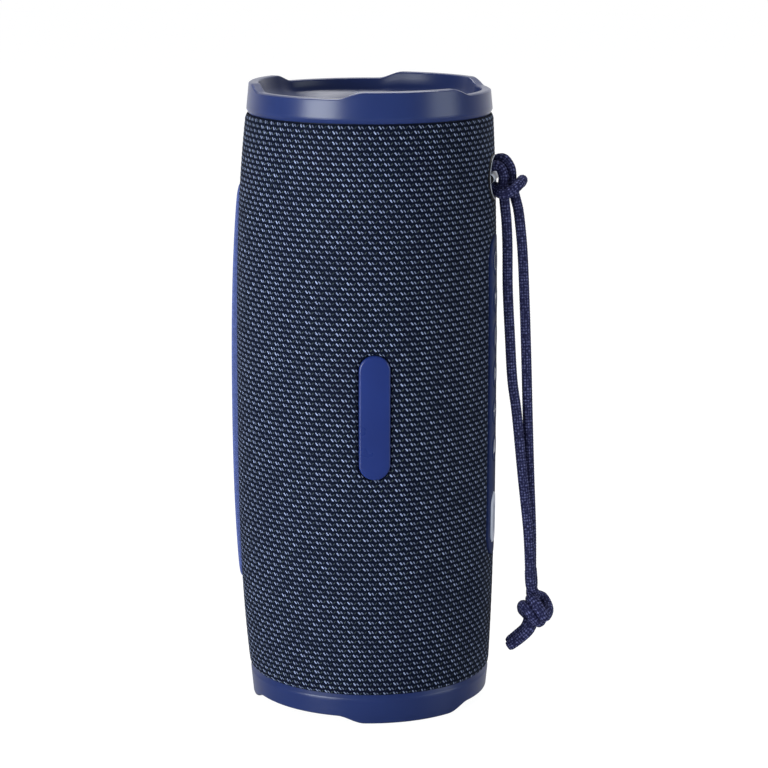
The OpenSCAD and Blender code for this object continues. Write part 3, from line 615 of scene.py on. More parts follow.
def plain_world():
    """Dim even room light, behind a backdrop that reads white."""
    world = bpy.data.worlds.new("plain_world")
    world.use_nodes = True
    board = NodeBoard(world.node_tree)
    room = board.nodes["Background"]
    room.inputs["Color"].default_value = ROOM_COLOUR
    room.inputs["Strength"].default_value = ROOM_STRENGTH
    seen, level, _ = seen_share(board)
    white = board.node("ShaderNodeBackground", {"Color": WHITE, "Strength": level})
    shown = board.mix_shaders(seen, room.outputs[0], white.outputs[0])
    board.feed(board.nodes["World Output"].inputs["Surface"], shown)
    return world


def floor_finish():
    """Pale polished floor: it reads white, keeps a soft shadow, and glosses see the lamps mirrored in it."""
    finish = Finish("floor_paper", PAPER_COLOUR, 0.9)
    polish = finish.node("ShaderNodeBsdfGlossy", {"Color": WHITE, "Roughness": 0.2})
    seen, level, gloss = seen_share(finish)
    glow = finish.node("ShaderNodeEmission", {"Strength": finish.math("MULTIPLY", level, FLOOR_GLOW)})
    shown = finish.mix_shaders(finish.math("MULTIPLY", seen, FLOOR_SHOWN),
                               finish.shader.outputs[0], glow.outputs[0])
    shown = finish.mix_shaders(finish.math("MULTIPLY", gloss, FLOOR_POLISH), shown, polish.outputs[0])
    finish.feed(finish.nodes["Material Output"].inputs["Surface"], shown)
    return finish.material


# ---- Lanyard ----


def route(*points):
    """A route of the cord's middle, from points in millimetres."""
    return [Vector(point) * MM for point in points]


HITCH = route(
    (39, -1.6, 143), (38.7, -1.6, 145.8), (38.3, -1.6, 149.4), (38.4, -1.6, 152.3),
    (37.2, -1.6, 154.8), (35.0, -1.6, 154.9), (32.8, -1.6, 153.8), (31.9, -1.6, 151.5),
    (33.1, -1.7, 149.1), (36.1, -2, 148.5), (38.2, -4.2, 147.5), (40.3, -4.8, 147.9),
    (42.5, -3.8, 149.6), (43.5, 0, 151), (42.6, 3.9, 149.6), (40.3, 4.8, 147.9),
    (38.2, 4.2, 147.5), (36.1, 2, 148.5), (33.1, 1.7, 149.1), (31.9, 1.6, 151.5),
    (32.8, 1.6, 154.0), (35.2, 1.4, 156.0), (38.0, 0.9, 156.8), (40.0, 0.9, 154.2),
    (40.4, 1.3, 150.4), (41.2, 1.6, 146.6), (42.2, 1.6, 143))
STRAND_A = route(
    (39, -1.6, 143), (39.4, -1.5, 139), (39.7, -1.3, 132), (39.9, -1.2, 120),
    (40.7, -1.2, 106), (41.5, -1.2, 94), (42.9, -1.3, 84), (44.8, -1.4, 66), (46.6, -1.5, 50),
    (47.3, -1.5, 38))
STRAND_B = route(
    (42.2, 1.6, 143), (42.8, 1.5, 139), (43.7, 1.4, 130), (44.5, 1.3, 115),
    (45.2, 1.3, 98), (45.7, 1.3, 84), (46.4, 1.4, 66), (47.1, 1.5, 50), (47.3, 1.5, 38))
KNOT_SPINE = route(
    (47.3, 0, 38), (47.6, 0.4, 33.6), (48.0, 1.6, 30.2), (49.8, 3.0, 28.0),
    (51.6, 0.6, 25.5), (51.1, -3.0, 24.2), (49.6, -4.6, 26.4), (47.8, -3.8, 28.6),
    (46.4, -0.6, 28.4), (46.2, 2.4, 26.0), (47.4, 2.6, 23.4), (46.6, 0.2, 20.4),
    (43.9, 0, 17.6), (41, 0, 15.2))
KNOT_FULLNESS = 1.08  # how much fuller the slack cord of the knot is
# Which way one cord of the knot lies from its middle line, point by point; the other lies opposite
KNOT_LAY = [Vector(way).normalized() for way in (
    (0, 1, 0), (0, 1, 0), (-0.4, 0.8, -0.3), (-0.6, 0.4, -0.7), (-0.6, 0.4, -0.7),
    (-0.6, 0.4, -0.7), (-0.7, 0.1, -0.7), (-0.6, -0.4, -0.7), (-0.7, -0.4, -0.6),
    (-0.8, -0.2, -0.5), (-0.6, 0.6, -0.5), (-0.5, 0.9, -0.1), (-0.2, 1, 0.2), (-0.1, 1, 0.1))]
CORD_SIDES = 36
CORD_STEP = 0.28 * MM
BRAID_CARRIERS = 12
BRAID_PITCH = 1.7 * MM
BRAID_RELIEF = 0.09 * MM
TIP_PINCH = 0.80  # a cut end's width, as a share of the cord's


def smooth_route(points, step):
    """A Catmull-Rom curve through the points, cut at even steps."""
    dense, cuts = [], 40
    for i in range(len(points) - 1):
        a, b = points[max(i - 1, 0)], points[i]
        c, d = points[i + 1], points[min(i + 2, len(points) - 1)]
        for k in range(cuts):
            t = k / cuts
            dense.append(b + 0.5 * t * ((c - a) + t * ((2 * a - 5 * b + 4 * c - d)
                                                     + t * (3 * (b - c) + d - a))))
    dense.append(points[-1])
    total = sum((q - p).length for p, q in zip(dense, dense[1:]))
    count = max(2, round(total / step))
    even, walked, want = [dense[0]], 0.0, total / count
    for p, q in zip(dense, dense[1:]):
        gap = (q - p).length
        while walked + gap >= want - 1e-12 and len(even) < count:
            even.append(p.lerp(q, (want - walked) / gap))
            want += total / count
        walked += gap
    even.append(dense[-1])
    return even, total


def braid_height(along, around):
    """How high the braid's yarns stand at a place on the cord, from 0 to 1."""
    lead = around * BRAID_CARRIERS / 2 + along / BRAID_PITCH
    lag = around * BRAID_CARRIERS / 2 - along / BRAID_PITCH
    over = math.sin(2 * math.pi * lead) * math.sin(2 * math.pi * lag)
    return 0.5 + 0.5 * math.copysign(abs(over) ** 0.6, over)


def braided_tube(bm, points, radius, layer, along, side, tip):
    """Extrudes a ring along the points, with the braid's relief on it; tip narrows its last end.

    A negative along runs the braid's phase backwards.
    """
    ring = bmesh.ops.create_circle(bm, cap_ends=False, segments=CORD_SIDES, radius=radius)["verts"]
    edges = list({e for v in ring for e in v.link_edges})
    first = list(edges)
    slots = {vert: k for k, vert in enumerate(ring)}
    for i, point in enumerate(points):
        heading = (points[min(i + 1, len(points) - 1)] - points[max(i - 1, 0)]).normalized()
        side = (side - heading * side.dot(heading)).normalized()
        lift = heading.cross(side)
        if i:
            grown = bmesh.ops.extrude_edge_only(bm, edges=edges)["geom"]
            new = [g for g in grown if isinstance(g, bmesh.types.BMVert)]
            ahead = {}
            for vert in new:
                old = next(e.other_vert(vert) for e in vert.link_edges if e.other_vert(vert) in slots)
                ahead[vert] = slots[old]
            slots = ahead
            edges = [g for g in grown if isinstance(g, bmesh.types.BMEdge)
                     and g.verts[0] in slots and g.verts[1] in slots]
            along += (point - points[i - 1]).length * (1 if along >= 0 else -1)
        end = (len(points) - 1 - i) * CORD_STEP
        pinch = min(1.0, TIP_PINCH + (1 - TIP_PINCH) * end / (0.5 * radius)) if tip else 1.0
        for vert, k in slots.items():
            turn = 2 * math.pi * k / CORD_SIDES
            height = braid_height(along, k / CORD_SIDES)
            reach = (radius - BRAID_RELIEF * (1 - height)) * pinch
            vert.co = point + (side * math.cos(turn) + lift * math.sin(turn)) * reach
            vert[layer] = height
    bmesh.ops.holes_fill(bm, edges=first + edges, sides=CORD_SIDES)
    return along, side


def braided_piece(name, starts, replaced, tip=False):
    """One object from (route, braid phase, first side) rows, and where each of its cords ends."""
    bm = bmesh.new()
    layer = bm.verts.layers.float.new("braid")
    ends = []
    for line, along, side in starts:
        points, total = smooth_route(line, CORD_STEP)
        radius = sizes().cord_diameter / 2 * (KNOT_FULLNESS if tip else 1.0)
        phase, side = braided_tube(bm, points, radius, layer, along, side, tip)
        ends.append((points, total, phase, side))
    made = piece(name, bm, "braided_cord")
    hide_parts(*replaced)
    return made, ends


class SPEAKER_OT_lanyard(bpy.types.Operator):
    """Add the hitched cord lanyard with its end knot"""

    bl_idname = "speaker.lanyard"
    bl_label = "Lanyard"

    def execute(self, context):
        half = sizes().cord_diameter / 2
        side = Vector((0.1, 1.0, 0.2))
        hitch, ((_, _, phase, turned),) = braided_piece("lanyard_hitch_braid", [(HITCH, 0.0, side)],
                                                        ["lanyard_hitch"])
        strands, starts = [], []
        for letter, line, along, first, way in (("a", STRAND_A, -1e-9, side, -1),
                                                ("b", STRAND_B, phase, turned, 1)):
            strand, ((points, total, at, last),) = braided_piece(
                f"lanyard_strand_{letter}_braid", [(line, along, first)], [f"lanyard_strand_{letter}"])
            strands.append((strand, points, total))
            cord = [point + lay * half * way for point, lay in zip(KNOT_SPINE, KNOT_LAY)]
            starts.append((cord, at, last))
        knot, _ = braided_piece("lanyard_end_knot_braid", starts, ["lanyard_end_knot"], True)
        return {"FINISHED"}


# ---- End rings ----

RING_STEPS = 360
CREST_COUNT = 3
LOW_HALF_DEG = 24.3  # half the low stretch between two crests
RAMP_DEG = 13.2
DROP_START, DROP_FULL = 0.15, 0.85  # shares of a ring's height between which its wall takes up the drop
RING_INSET = 0.2 * MM  # how far a ring stands in from the sleeve
RIM_EDGES = 1.2 * MM  # what a rim's two broken edges take beside its level top
RIM_FACET = 0.45 * MM
RIM_TILT = 60.0
LOW_ROUND = 0.28 * MM  # below the rim's facet
HIGH_ROUND = 0.2 * MM  # above it
LIP_STEP = 0.55 * MM  # how far a ring slopes in to the sleeve's edge
LIP_HEIGHT = 1.1 * MM  # and over what height
FLANGE_THICK = 0.8 * MM  # the flat rims of a radiator's surround, on which the ring's inner wall stands
THROAT_GAP = 5.8 * MM  # from a radiator's disc out to that wall


def rim_drop(azimuth_deg):
    """How much of the recess depth the rim has dropped here, from 0 on a crest to 1."""
    period = 360.0 / CREST_COUNT
    away = abs((azimuth_deg + period / 2) % period - period / 2)
    return 1.0 - ease_share(away, LOW_HALF_DEG, LOW_HALF_DEG + RAMP_DEG)


def ring_section():
    """Closed half section of a ring, its crest and its wall's slope. Heights start at the sleeve's edge."""
    crest = RING_HIGH - EDGE_Z
    wall = sizes().end_radius - RING_INSET
    top = wall - sizes().ring_draft
    tilt = math.radians(RIM_TILT)
    facet_in, facet_up = RIM_FACET * math.sin(tilt), RIM_FACET * math.cos(tilt)
    shoulder = crest - LOW_ROUND * math.sin(tilt) - facet_up - HIGH_ROUND * (1 - math.sin(tilt))
    inner = top - sizes().rim_width - RIM_EDGES
    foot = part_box("top_radiator_surround")[0].z - EDGE_Z + FLANGE_THICK
    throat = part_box("top_radiator_disc")[1].x + THROAT_GAP
    skirt = RING_LOW - EDGE_Z
    lip = wall - LIP_STEP
    outer = [(lip - 2.6 * MM, skirt), (lip - 2.6 * MM, 0.0), (lip, 0.0), (lip + 0.06 * MM, 0.12 * MM)]
    outer += [(wall - 0.10 * MM, LIP_HEIGHT - 0.15 * MM), (wall - 0.02 * MM, LIP_HEIGHT)]
    slope = sizes().ring_draft / (shoulder - LIP_HEIGHT)
    wall_low, steps = LIP_HEIGHT + 0.15 * MM, 12
    for i in range(1, steps):
        height = wall_low + (shoulder - wall_low) * i / steps
        outer.append((wall - slope * (height - LIP_HEIGHT), height))
    outer += arc((top - LOW_ROUND, shoulder), LOW_ROUND, 0, RIM_TILT, 5)
    high_centre = (top - LOW_ROUND + (LOW_ROUND - HIGH_ROUND) * math.cos(tilt) - facet_in,
                   shoulder + (LOW_ROUND - HIGH_ROUND) * math.sin(tilt) + facet_up)
    outer += arc(high_centre, HIGH_ROUND, RIM_TILT, 90, 3)
    outer += [(inner + 0.9 * MM, crest)]
    outer += arc((inner + 0.5 * MM, crest - 0.5 * MM), 0.5 * MM, 90, 180, 4)
    outer += [(inner - 0.25 * MM, crest - 1.8 * MM), (inner - 0.5 * MM, crest - 3.2 * MM),
              (inner - 0.9 * MM, crest - 4.2 * MM), (inner - 2.0 * MM, crest - 5.4 * MM)]
    outer += [(throat + 0.4 * MM, foot + 1.5 * MM), (throat, foot + 1.1 * MM), (throat, foot)]
    outer += [(throat + 1.6 * MM, foot), (lip - 4.0 * MM, 2.4 * MM), (lip - 4.0 * MM, skirt)]
    return outer, crest, slope


class SPEAKER_OT_end_rings(bpy.types.Operator):
    """Add the two wave-rimmed end rings"""

    bl_idname = "speaker.end_rings"
    bl_label = "End rings"

    def execute(self, context):
        section, crest, slope = ring_section()
        for name, node, flip in (("top_ring_shell", "top_end_ring", 1.0),
                                 ("bottom_ring_shell", "bottom_end_ring", -1.0)):
            bm = spun(section, RING_STEPS, True)
            for vert in bm.verts:
                azimuth = math.degrees(math.atan2(vert.co.y, vert.co.x))
                share = ease_share(vert.co.z / crest, DROP_START, DROP_FULL)
                drop = sizes().recess_depth * rim_drop(azimuth) * share
                reach = vert.co.xy.length
                vert.co.xy = vert.co.xy * (1 + slope * drop / reach)
                vert.co.z = MID_Z + flip * (HALF_SLEEVE + vert.co.z - drop)
            made = piece(name, bm, "ring_plastic", sharp=50)
            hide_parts(node)
        return {"FINISHED"}


# ---- Sleeve ----

SAMPLES_ACROSS = 4  # mesh columns to one repeat of the weave
SAMPLES_UP = 4
SLEEVE_RELIEF = 0.14 * MM
EDGE_TUCK = 0.5 * MM  # how far the sleeve's ends turn in where they meet the rings
EDGE_BEND = 1.2 * MM  # and over what height
WINDOW_GAP = 0.15 * MM
WINDOW_TUCK = 0.35 * MM  # how far a window's edge turns in
HEM_DEPTH = 1.0 * MM


def window_shapes():
    """Azimuth, middle height, length and width of each window in the sleeve."""
    shapes = []
    for node, azimuth in (("key_strip", KEY_SIDE), ("port_tray", REAR_SIDE), ("eyelet", KEY_SIDE)):
        middle, extent = node_place(node)
        wide = extent.x if azimuth == REAR_SIDE else extent.y
        shapes.append((azimuth, middle.z, extent.z, wide))
    shapes.append((FOOT_SIDE, *foot_shape()))
    shapes.append((badge_azimuth(), MID_Z, sizes().badge_height, sizes().badge_width))
    return [(azimuth, middle, length + 2 * WINDOW_GAP, wide + 2 * WINDOW_GAP)
            for azimuth, middle, length, wide in shapes]


def badge_azimuth():
    middle, _ = node_place("badge_plate")
    return math.degrees(math.atan2(middle.y, middle.x))


def foot_shape():
    """Middle height, length and width of the foot strip."""
    middle, extent = node_place("foot_strip")
    return middle.z + FOOT_RAISE, sizes().foot_length, extent.y


def outside_pill(x, y, length, width):
    """Distance outside a stadium that is long along y, and the direction straight out of it."""
    core = max(-(length - width) / 2, min((length - width) / 2, y))
    away = Vector((x, y - core, 0.0))
    distance = away.length
    return distance - width / 2, away / distance if distance > 1e-9 else Vector((1, 0, 0))


def in_window(point, window):
    """Place of a point in a window's own flat axes, or None on the sleeve's far side."""
    azimuth, middle, _, _ = window
    turn = math.radians(azimuth)
    x, y = point.x - lean(point.z), point.y
    if x * math.cos(turn) + y * math.sin(turn) <= 0:
        return None
    return Vector((-x * math.sin(turn) + y * math.cos(turn), point.z - middle, 0.0))


def cut_window(bm, window, mesh_step):
    """Opens a window in the sleeve, draws its edge onto the outline and turns a hem in."""
    azimuth, middle, length, width = window
    turn = math.radians(azimuth)
    near = {}
    for vert in bm.verts:
        flat = in_window(vert.co, window)
        if flat is not None and abs(flat.x) < width and abs(flat.y) < length:
            near[vert] = outside_pill(flat.x, flat.y, length, width)
    doomed = [f for f in bm.faces if all(v in near for v in f.verts)
              and sum(near[v][0] for v in f.verts) / len(f.verts) < 0]
    bmesh.ops.delete(bm, geom=doomed, context="FACES")
    rim = [e for e in bm.edges if e.is_boundary
           and all(v in near and near[v][0] < 1.5 * mesh_step for v in e.verts)]
    for vert in {v for e in rim for v in e.verts}:
        distance, out = near[vert]
        flat = in_window(vert.co, window) - out * distance
        z = middle + flat.y
        depth = math.sqrt((barrel_radius(z) - WINDOW_TUCK) ** 2 - flat.x ** 2)
        vert.co = (depth * math.cos(turn) - flat.x * math.sin(turn) + lean(z),
                   depth * math.sin(turn) + flat.x * math.cos(turn), z)
    grown = bmesh.ops.extrude_edge_only(bm, edges=rim)["geom"]
    inward = Vector((math.cos(turn), math.sin(turn), 0.0)) * -HEM_DEPTH
    bmesh.ops.translate(bm, verts=[g for g in grown if isinstance(g, bmesh.types.BMVert)], vec=inward)


class SPEAKER_OT_sleeve(bpy.types.Operator):
    """Add the woven sleeve with its windows"""

    bl_idname = "speaker.sleeve"
    bl_label = "Woven sleeve"

    def execute(self, context):
        columns = sizes().weave_columns * SAMPLES_ACROSS
        mesh_step = sizes().weave_pitch / SAMPLES_UP
        rows = round(2 * HALF_SLEEVE / mesh_step)
        low = MID_Z - HALF_SLEEVE + SLEEVE_SEAT
        high = MID_Z + HALF_SLEEVE - SLEEVE_SEAT
        points = [(barrel_radius(z), z) for z in (low + (high - low) * i / rows for i in range(rows + 1))]
        bm = spun(points, columns, False)
        for vert in bm.verts:
            azimuth = math.atan2(vert.co.y, vert.co.x)
            across = azimuth / (2 * math.pi) * sizes().weave_columns
            up = vert.co.z / sizes().weave_pitch
            pillow = 0.5 + 0.5 * math.cos(2 * math.pi * across) * math.cos(2 * math.pi * up)
            radius = barrel_radius(vert.co.z) - SLEEVE_RELIEF * (1 - pillow)
            edge = min(vert.co.z - low, high - vert.co.z)
            radius -= EDGE_TUCK * max(0.0, 1 - edge / EDGE_BEND) ** 2
            vert.co.x = radius * math.cos(azimuth) + lean(vert.co.z)
            vert.co.y = radius * math.sin(azimuth)
        for window in window_shapes():
            cut_window(bm, window, mesh_step)
        made = piece("woven_sleeve", bm, "woven_fabric")
        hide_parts("fabric_sleeve")
        return {"FINISHED"}


# ---- Badge, strips and keys ----

SOFT_EDGE = 0.12 * MM  # the broken edge of a moulding
SOFT_ANGLE = 38.0  # degrees past which an edge is broken
FLAT_ANGLE = 0.6  # degrees within which a solid's triangles make one face
FOOT_RAISE = 1.6 * MM  # how much higher the foot strip sits than its solid
FOOT_DEPTH = 2.2 * MM
FOOT_EDGE = 0.65 * MM
FOOT_END_PROUD = 0.6 * MM  # how far the foot strip stands proud at its ends
STRIP_SINK = 0.28 * MM  # how much lower the key strip's face is than its solid
KEY_FLANGE = 1.6 * MM  # what a solid key's hidden flange adds to its width
KEY_DEPTH = 2.4 * MM
KEY_EDGE = 0.45 * MM
KEY_LIFT = 0.08 * MM  # how far a round key stands above the strip
# A key's dished top: share of the width in from the edge, and drop in mm
KEY_DISH = ((0.2, 0.10), (0.35, 0.16), (0.48, 0.18))
POWER_LIFT = 0.15 * MM
POWER_SLOT = (2.4 * MM, 7.4 * MM)  # width and length
SIGN_LIFT = 0.05 * MM
SIGN_DEPTH = 0.2 * MM
SIGN_SEAT = 0.14 * MM  # how far a sign's ground lies below a key's edge
SIGN_STROKE = 0.55 * MM
KEY_NODES = ("tone_key", "pair_key", "minus_key", "play_key", "plus_key", "mode_key")


class SPEAKER_OT_badge(bpy.types.Operator):
    """Add the blank bevelled badge"""

    bl_idname = "speaker.badge"
    bl_label = "Badge"

    def execute(self, context):
        bm = bmesh.new()
        wide, tall = sizes().badge_width, sizes().badge_height
        face = pill(bm, tall, wide, 48, 24)
        profile = [(inset * MM, height * MM) for inset, height in
                   ((0.0, -0.9), (0.0, 0.18), (0.06, 0.30), (0.28, 0.50), (0.476, 0.56), (0.672, 0.58))]
        profile += [(wide / 2 * share, profile[-1][1]) for share in (0.35, 0.6, 0.95)]
        close_spine(bm, stepped_slab(bm, face, profile))
        wrap(bm, badge_azimuth(), MID_Z)
        made = piece("badge_cover", bm, "badge_plastic", sharp=40)
        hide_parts("badge_plate")
        return {"FINISHED"}


class SPEAKER_OT_foot(bpy.types.Operator):
    """Add the bowed rubber foot strip"""

    bl_idname = "speaker.foot"
    bl_label = "Foot strip"

    def execute(self, context):
        middle, length, wide = foot_shape()
        bm = bmesh.new()
        face = pill(bm, length, wide, 48, 40)
        close_spine(bm, stepped_slab(bm, face, rounded_profile(FOOT_DEPTH, 0.0, FOOT_EDGE, wide, 5)))

        def bow(y):
            return FOOT_END_PROUD + (sizes().foot_proud - FOOT_END_PROUD) * (1 - (2 * y / length) ** 2)

        wrap(bm, FOOT_SIDE, middle, bow)
        made = piece("foot_pad", bm, "foot_rubber", sharp=60)
        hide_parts("foot_strip")
        return {"FINISHED"}


def softened_copy(name, node, material, body="root", width=SOFT_EDGE, sink=0.0, hinged=False):
    """A copy of a rigid node with its edges broken, set on this barrel, which stands for the node."""
    bm = bmesh.new()
    bm.from_mesh(frame["nodes"][node].data)
    bmesh.ops.remove_doubles(bm, verts=bm.verts, dist=1e-6)
    bmesh.ops.dissolve_limit(bm, angle_limit=math.radians(FLAT_ANGLE), verts=bm.verts, edges=bm.edges)
    refit(bm, sink, hinged)
    made = piece(name, bm, material, body)
    bevel = made.modifiers.new("broken_edges", "BEVEL")
    bevel.width = width
    bevel.segments = 2
    bevel.limit_method = "ANGLE"
    bevel.angle_limit = math.radians(SOFT_ANGLE)
    bevel.harden_normals = True
    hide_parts(node)


class SPEAKER_OT_key_strip(bpy.types.Operator):
    """Add the key strip with its rounded windows"""

    bl_idname = "speaker.key_strip"
    bl_label = "Key strip"

    def execute(self, context):
        softened_copy("strip_cover", "key_strip", "strip_rubber", sink=STRIP_SINK)
        return {"FINISHED"}


def sign_slab(bm, length, x=0.0, y=0.0, tilt=0.0):
    """A thin printed stroke at a place on a key."""
    part = bmesh.new()
    face = pill(part, length, SIGN_STROKE, 20, 2)
    stepped_slab(part, face, [(0.0, -SIGN_DEPTH), (0.0, SIGN_LIFT * 0.6), (SIGN_STROKE * 0.08, SIGN_LIFT)])
    part.transform(Matrix.Translation((x, y, 0)) @ Matrix.Rotation(math.radians(tilt), 4, "Z"))
    move_in(bm, part)


def move_in(bm, part):
    """Adds a finished part to a sign."""
    mesh = bpy.data.meshes.new("stroke")
    part.to_mesh(mesh)
    part.free()
    bm.from_mesh(mesh)
    bpy.data.meshes.remove(mesh)


def sign_ring(bm, radius):
    """A thin printed ring."""
    inner, outer = radius - SIGN_STROKE / 2, radius + SIGN_STROKE / 2
    points = [(inner, -SIGN_DEPTH), (inner, SIGN_LIFT), (outer, SIGN_LIFT), (outer, -SIGN_DEPTH)]
    move_in(bm, spun(points, 48, True))


def sign_wedge(bm, length, width):
    """A thin printed wedge."""
    part = bmesh.new()
    flat = bmesh.ops.create_circle(part, cap_ends=True, segments=3, radius=length / 2)
    for vert in flat["verts"]:
        vert.co.x *= width / length * 1.15
    stepped_slab(part, part.faces[:][0], [(0.0, -SIGN_DEPTH), (0.0, SIGN_LIFT)])
    move_in(bm, part)


def draw_sign(node, bm):
    """The generic printed sign of one key."""
    if node == "tone_key":
        sign_ring(bm, 2.6 * MM)
    elif node == "pair_key":
        sign_slab(bm, 3.4 * MM)
        for side in (-1, 1):
            sign_slab(bm, 2.2 * MM, 0.8 * MM * side, 0.7 * MM, -40.0 * side)
    elif node == "minus_key":
        sign_slab(bm, 5.6 * MM)
    elif node == "play_key":
        sign_slab(bm, 3.6 * MM, -0.9 * MM)
        for side in (1, -1):
            sign_slab(bm, 2.6 * MM, 0.7 * MM, 0.7 * MM * side, 55.0 * side)
    elif node == "plus_key":
        for tilt in (0.0, 90.0):
            sign_slab(bm, 3.8 * MM, tilt=tilt)
    else:
        sign_wedge(bm, 6.4 * MM, 4.0 * MM)


class SPEAKER_OT_keys(bpy.types.Operator):
    """Add the six round keys and their printed signs"""

    bl_idname = "speaker.keys"
    bl_label = "Round keys"

    def execute(self, context):
        top = sizes().strip_proud + KEY_LIFT
        wide = node_place("power_key")[1].y - KEY_FLANGE
        *rounded, _, _, _ = rounded_profile(KEY_DEPTH, top, KEY_EDGE, wide)
        profile = rounded + [(wide * share, top - drop * MM) for share, drop in KEY_DISH]
        for node in KEY_NODES:
            middle, _ = node_place(node)
            bm = bmesh.new()
            stepped_slab(bm, pill(bm, wide, wide, 48), profile)
            wrap(bm, KEY_SIDE, middle.z)
            cap = piece(f"{node}_cap", bm, "strip_rubber", node, sharp=60)
            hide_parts(node)
            signs = bmesh.new()
            draw_sign(node, signs)
            bmesh.ops.translate(signs, verts=signs.verts, vec=(0, 0, top - SIGN_SEAT))
            wrap(signs, KEY_SIDE, middle.z)
            piece(f"{node}_sign", signs, "grey_plastic", node, sharp=40)
        return {"FINISHED"}


class SPEAKER_OT_power_key(bpy.types.Operator):
    """Add the power key: a pale pill ring round a dark slot"""

    bl_idname = "speaker.power_key"
    bl_label = "Power key"

    def execute(self, context):
        middle, extent = node_place("power_key")
        wide, tall = extent.y - KEY_FLANGE, extent.z - KEY_FLANGE
        top = sizes().strip_proud + POWER_LIFT
        slot_wide, slot_tall = POWER_SLOT
        land = (wide - slot_wide) / 2
        bm = bmesh.new()
        face = pill(bm, tall, wide, 48, 8)
        profile = [(0.0, -KEY_DEPTH), (0.0, top - 0.5 * MM), (0.1 * MM, top - 0.2 * MM), (0.4 * MM, top),
                   (land * 0.6, top), (land - 0.3 * MM, top - 0.02 * MM), (land, top - 0.25 * MM),
                   (land + 0.05 * MM, top - 0.8 * MM), (land + 0.9 * MM, top - 0.8 * MM)]
        stepped_slab(bm, face, profile)
        wrap(bm, KEY_SIDE, middle.z)
        ring = piece("power_key_ring", bm, "grey_plastic", "power_key", sharp=50)
        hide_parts("power_key")
        bm = bmesh.new()
        wide, tall = slot_wide - 0.2 * MM, slot_tall - 0.2 * MM
        face = pill(bm, tall, wide, 32, 6)
        stepped_slab(bm, face, rounded_profile(0.75 * MM, top - 0.45 * MM, 0.2 * MM, wide))
        wrap(bm, KEY_SIDE, middle.z)
        piece("power_key_slot", bm, "strip_rubber", "power_key", sharp=50)
        return {"FINISHED"}


# ---- Eyelet and port ----

EYELET_WALL = 0.6 * MM
# The rim's section in mm, out from the bore and up from the sleeve
EYELET_RIM = ((0.08, -0.5), (0.08, 0.16), (0.14, 0.24), (0.28, 0.24), (0.34, 0.16), (0.34, -0.5))
BAR_RADIUS = 1.36 * MM
BAR_SINK = 0.74 * MM  # how far the bar's middle lies below the sleeve
FLAP_EDGE = 0.25 * MM


class SPEAKER_OT_eyelet(bpy.types.Operator):
    """Add the eyelet cup with its lanyard bar"""

    bl_idname = "speaker.eyelet"
    bl_label = "Eyelet"

    def execute(self, context):
        softened_copy("eyelet_cup", "eyelet", "dark_plastic")
        middle, extent = node_place("eyelet")
        bore = extent.y / 2 - EYELET_WALL
        bm = spun([(bore + out * MM, high * MM) for out, high in EYELET_RIM], 72, True)
        wrap(bm, KEY_SIDE, middle.z)
        piece("eyelet_rim", bm, "grey_plastic", sharp=50)
        bm = bmesh.new()
        place = Matrix.Translation((barrel_radius(middle.z) + lean(middle.z) - BAR_SINK, 0, middle.z))
        bmesh.ops.create_cone(bm, cap_ends=True, segments=32, radius1=BAR_RADIUS, radius2=BAR_RADIUS,
                              depth=2 * bore, matrix=place @ Matrix.Rotation(math.pi / 2, 4, "X"))
        piece("eyelet_bar", bm, "grey_plastic", sharp=50)
        return {"FINISHED"}


class SPEAKER_OT_port(bpy.types.Operator):
    """Add the charging port's tray and its rubber door"""

    bl_idname = "speaker.port"
    bl_label = "Charging port"

    def execute(self, context):
        softened_copy("port_surround", "port_tray", "dark_plastic", hinged=True)
        softened_copy("port_flap", "port_door", "strip_rubber", "port_door", FLAP_EDGE, hinged=True)
        return {"FINISHED"}


# ---- Radiators ----

ROLL_RADIUS = 2.6 * MM
ROLL_THICK = 0.7 * MM
RADIATOR_STEPS = 128


def roll_section(radius, outer):
    """Closed half section of a rubber surround: a half roll between two flat rims."""
    middle, last = radius + ROLL_RADIUS, radius + 2 * ROLL_RADIUS
    section = [(radius - 1.6 * MM, 0.0), (radius - 1.6 * MM, 0.6 * MM), (radius - 1.4 * MM, FLANGE_THICK),
               (radius - 0.2 * MM, FLANGE_THICK)]
    section += arc((middle, 0.0), ROLL_RADIUS, 155, 25, 18)
    section += [(last + 0.3 * MM, FLANGE_THICK), (outer - 0.2 * MM, FLANGE_THICK), (outer, 0.6 * MM),
                (outer, 0.0), (last - 0.2 * MM, 0.0)]
    section += arc((middle, 0.0), ROLL_RADIUS - ROLL_THICK, 20, 160, 18)
    return section + [(radius + 0.2 * MM, 0.0)]


def disc_section(radius):
    """Half section of a radiator's dished disc."""
    rim = radius - 1.9 * MM
    section = [(0.0, 0.30 * MM), (4.0 * MM, 0.34 * MM), (9.0 * MM, 0.6 * MM), (rim - 1.4 * MM, 1.24 * MM)]
    section += arc((rim - 0.9 * MM, 0.7 * MM), 0.6 * MM, 100, 10, 5)
    return section + [(rim, 0.0), (radius, 0.0), (radius, -2.0 * MM), (0.0, -2.0 * MM)]


def upended(section, level, flip):
    """A section stood on its end of the tube, at a level; flip is -1 at the bottom."""
    return [(radius, level + flip * height) for radius, height in section]


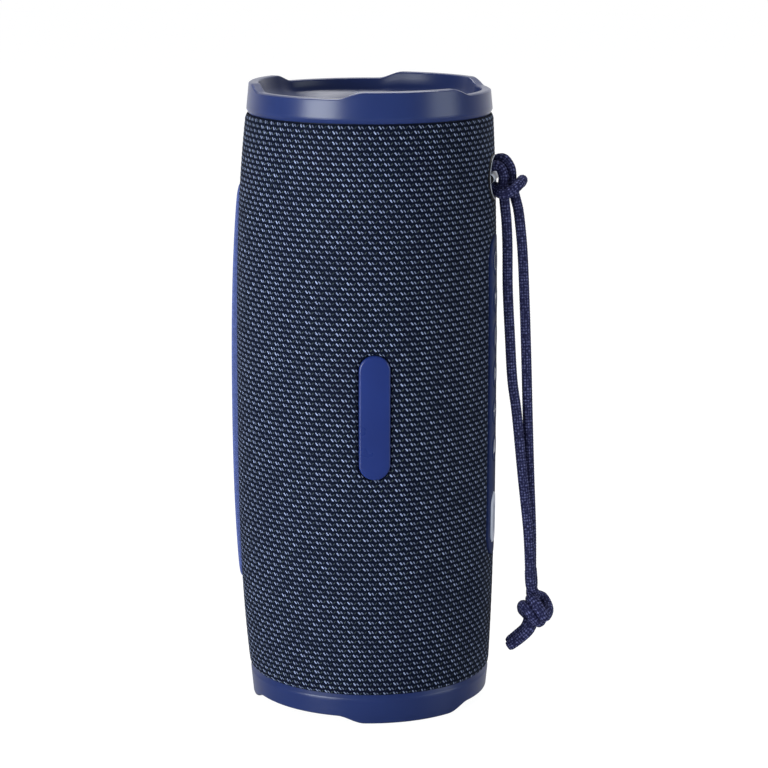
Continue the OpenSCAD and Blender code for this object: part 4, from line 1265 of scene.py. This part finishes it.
class SPEAKER_OT_radiators(bpy.types.Operator):
    """Add the two passive radiators that show in the end rings"""

    bl_idname = "speaker.radiators"
    bl_label = "Passive radiators"

    def execute(self, context):
        for end, flip in (("top", 1.0), ("bottom", -1.0)):
            disc, surround = f"{end}_radiator_disc", f"{end}_radiator_surround"
            radius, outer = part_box(disc)[1].x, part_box(surround)[1].x
            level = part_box(surround)[0 if flip > 0 else 1].z
            bm = spun(upended(roll_section(radius, outer), level, flip), RADIATOR_STEPS, True)
            made = piece(f"{end}_roll", bm, "black_rubber", sharp=50)
            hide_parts(surround)
            bm = spun(upended(disc_section(radius), level, flip), RADIATOR_STEPS, False)
            made = piece(f"{end}_disc", bm, "disc_plastic", disc, sharp=50)
            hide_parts(disc)
        return {"FINISHED"}


class SPEAKER_OT_works(bpy.types.Operator):
    """Give every solid node its finish, the works inside among them"""

    bl_idname = "speaker.works"
    bl_label = "Works inside"

    def execute(self, context):
        made = finishes()
        slots = {row["node"]: row["material_slot"] for row in frame["record"]["subparts"]}
        for name, node in frame["nodes"].items():
            node.data.materials.clear()
            node.data.materials.append(made[slots[name]])
        return {"FINISHED"}


class SPEAKER_PT_panel(bpy.types.Panel):
    """Lists the speaker's pieces"""

    bl_idname = "SPEAKER_PT_panel"
    bl_label = "Tube Loudspeaker"
    bl_space_type = "VIEW_3D"
    bl_region_type = "UI"
    bl_category = "Speaker"

    def draw(self, context):
        column = self.layout.column(align=True)
        for operator in OPERATORS:
            column.operator(operator.bl_idname)
        for group in (context.scene.speaker_sizes, context.scene.speaker_colours):
            box = self.layout.box()
            for name in group.__annotations__:
                box.prop(group, name)


OPERATORS = (
    SPEAKER_OT_camera,
    SPEAKER_OT_lanyard,
    SPEAKER_OT_stage,
    SPEAKER_OT_works,
    SPEAKER_OT_sleeve,
    SPEAKER_OT_end_rings,
    SPEAKER_OT_badge,
    SPEAKER_OT_foot,
    SPEAKER_OT_key_strip,
    SPEAKER_OT_keys,
    SPEAKER_OT_power_key,
    SPEAKER_OT_eyelet,
    SPEAKER_OT_port,
    SPEAKER_OT_radiators,
)
CLASSES = (SpeakerSizes, SpeakerColours, *OPERATORS, SPEAKER_PT_panel)


def register():
    for item in CLASSES:
        bpy.utils.register_class(item)
    bpy.types.Scene.speaker_sizes = PointerProperty(type=SpeakerSizes)
    bpy.types.Scene.speaker_colours = PointerProperty(type=SpeakerColours)


def unregister():
    del bpy.types.Scene.speaker_colours
    del bpy.types.Scene.speaker_sizes
    for item in reversed(CLASSES):
        bpy.utils.unregister_class(item)


def main():
    register()
    for operator in OPERATORS:
        group, name = operator.bl_idname.split(".")
        getattr(getattr(bpy.ops, group), name)()


if __name__ == "__main__":
    main()
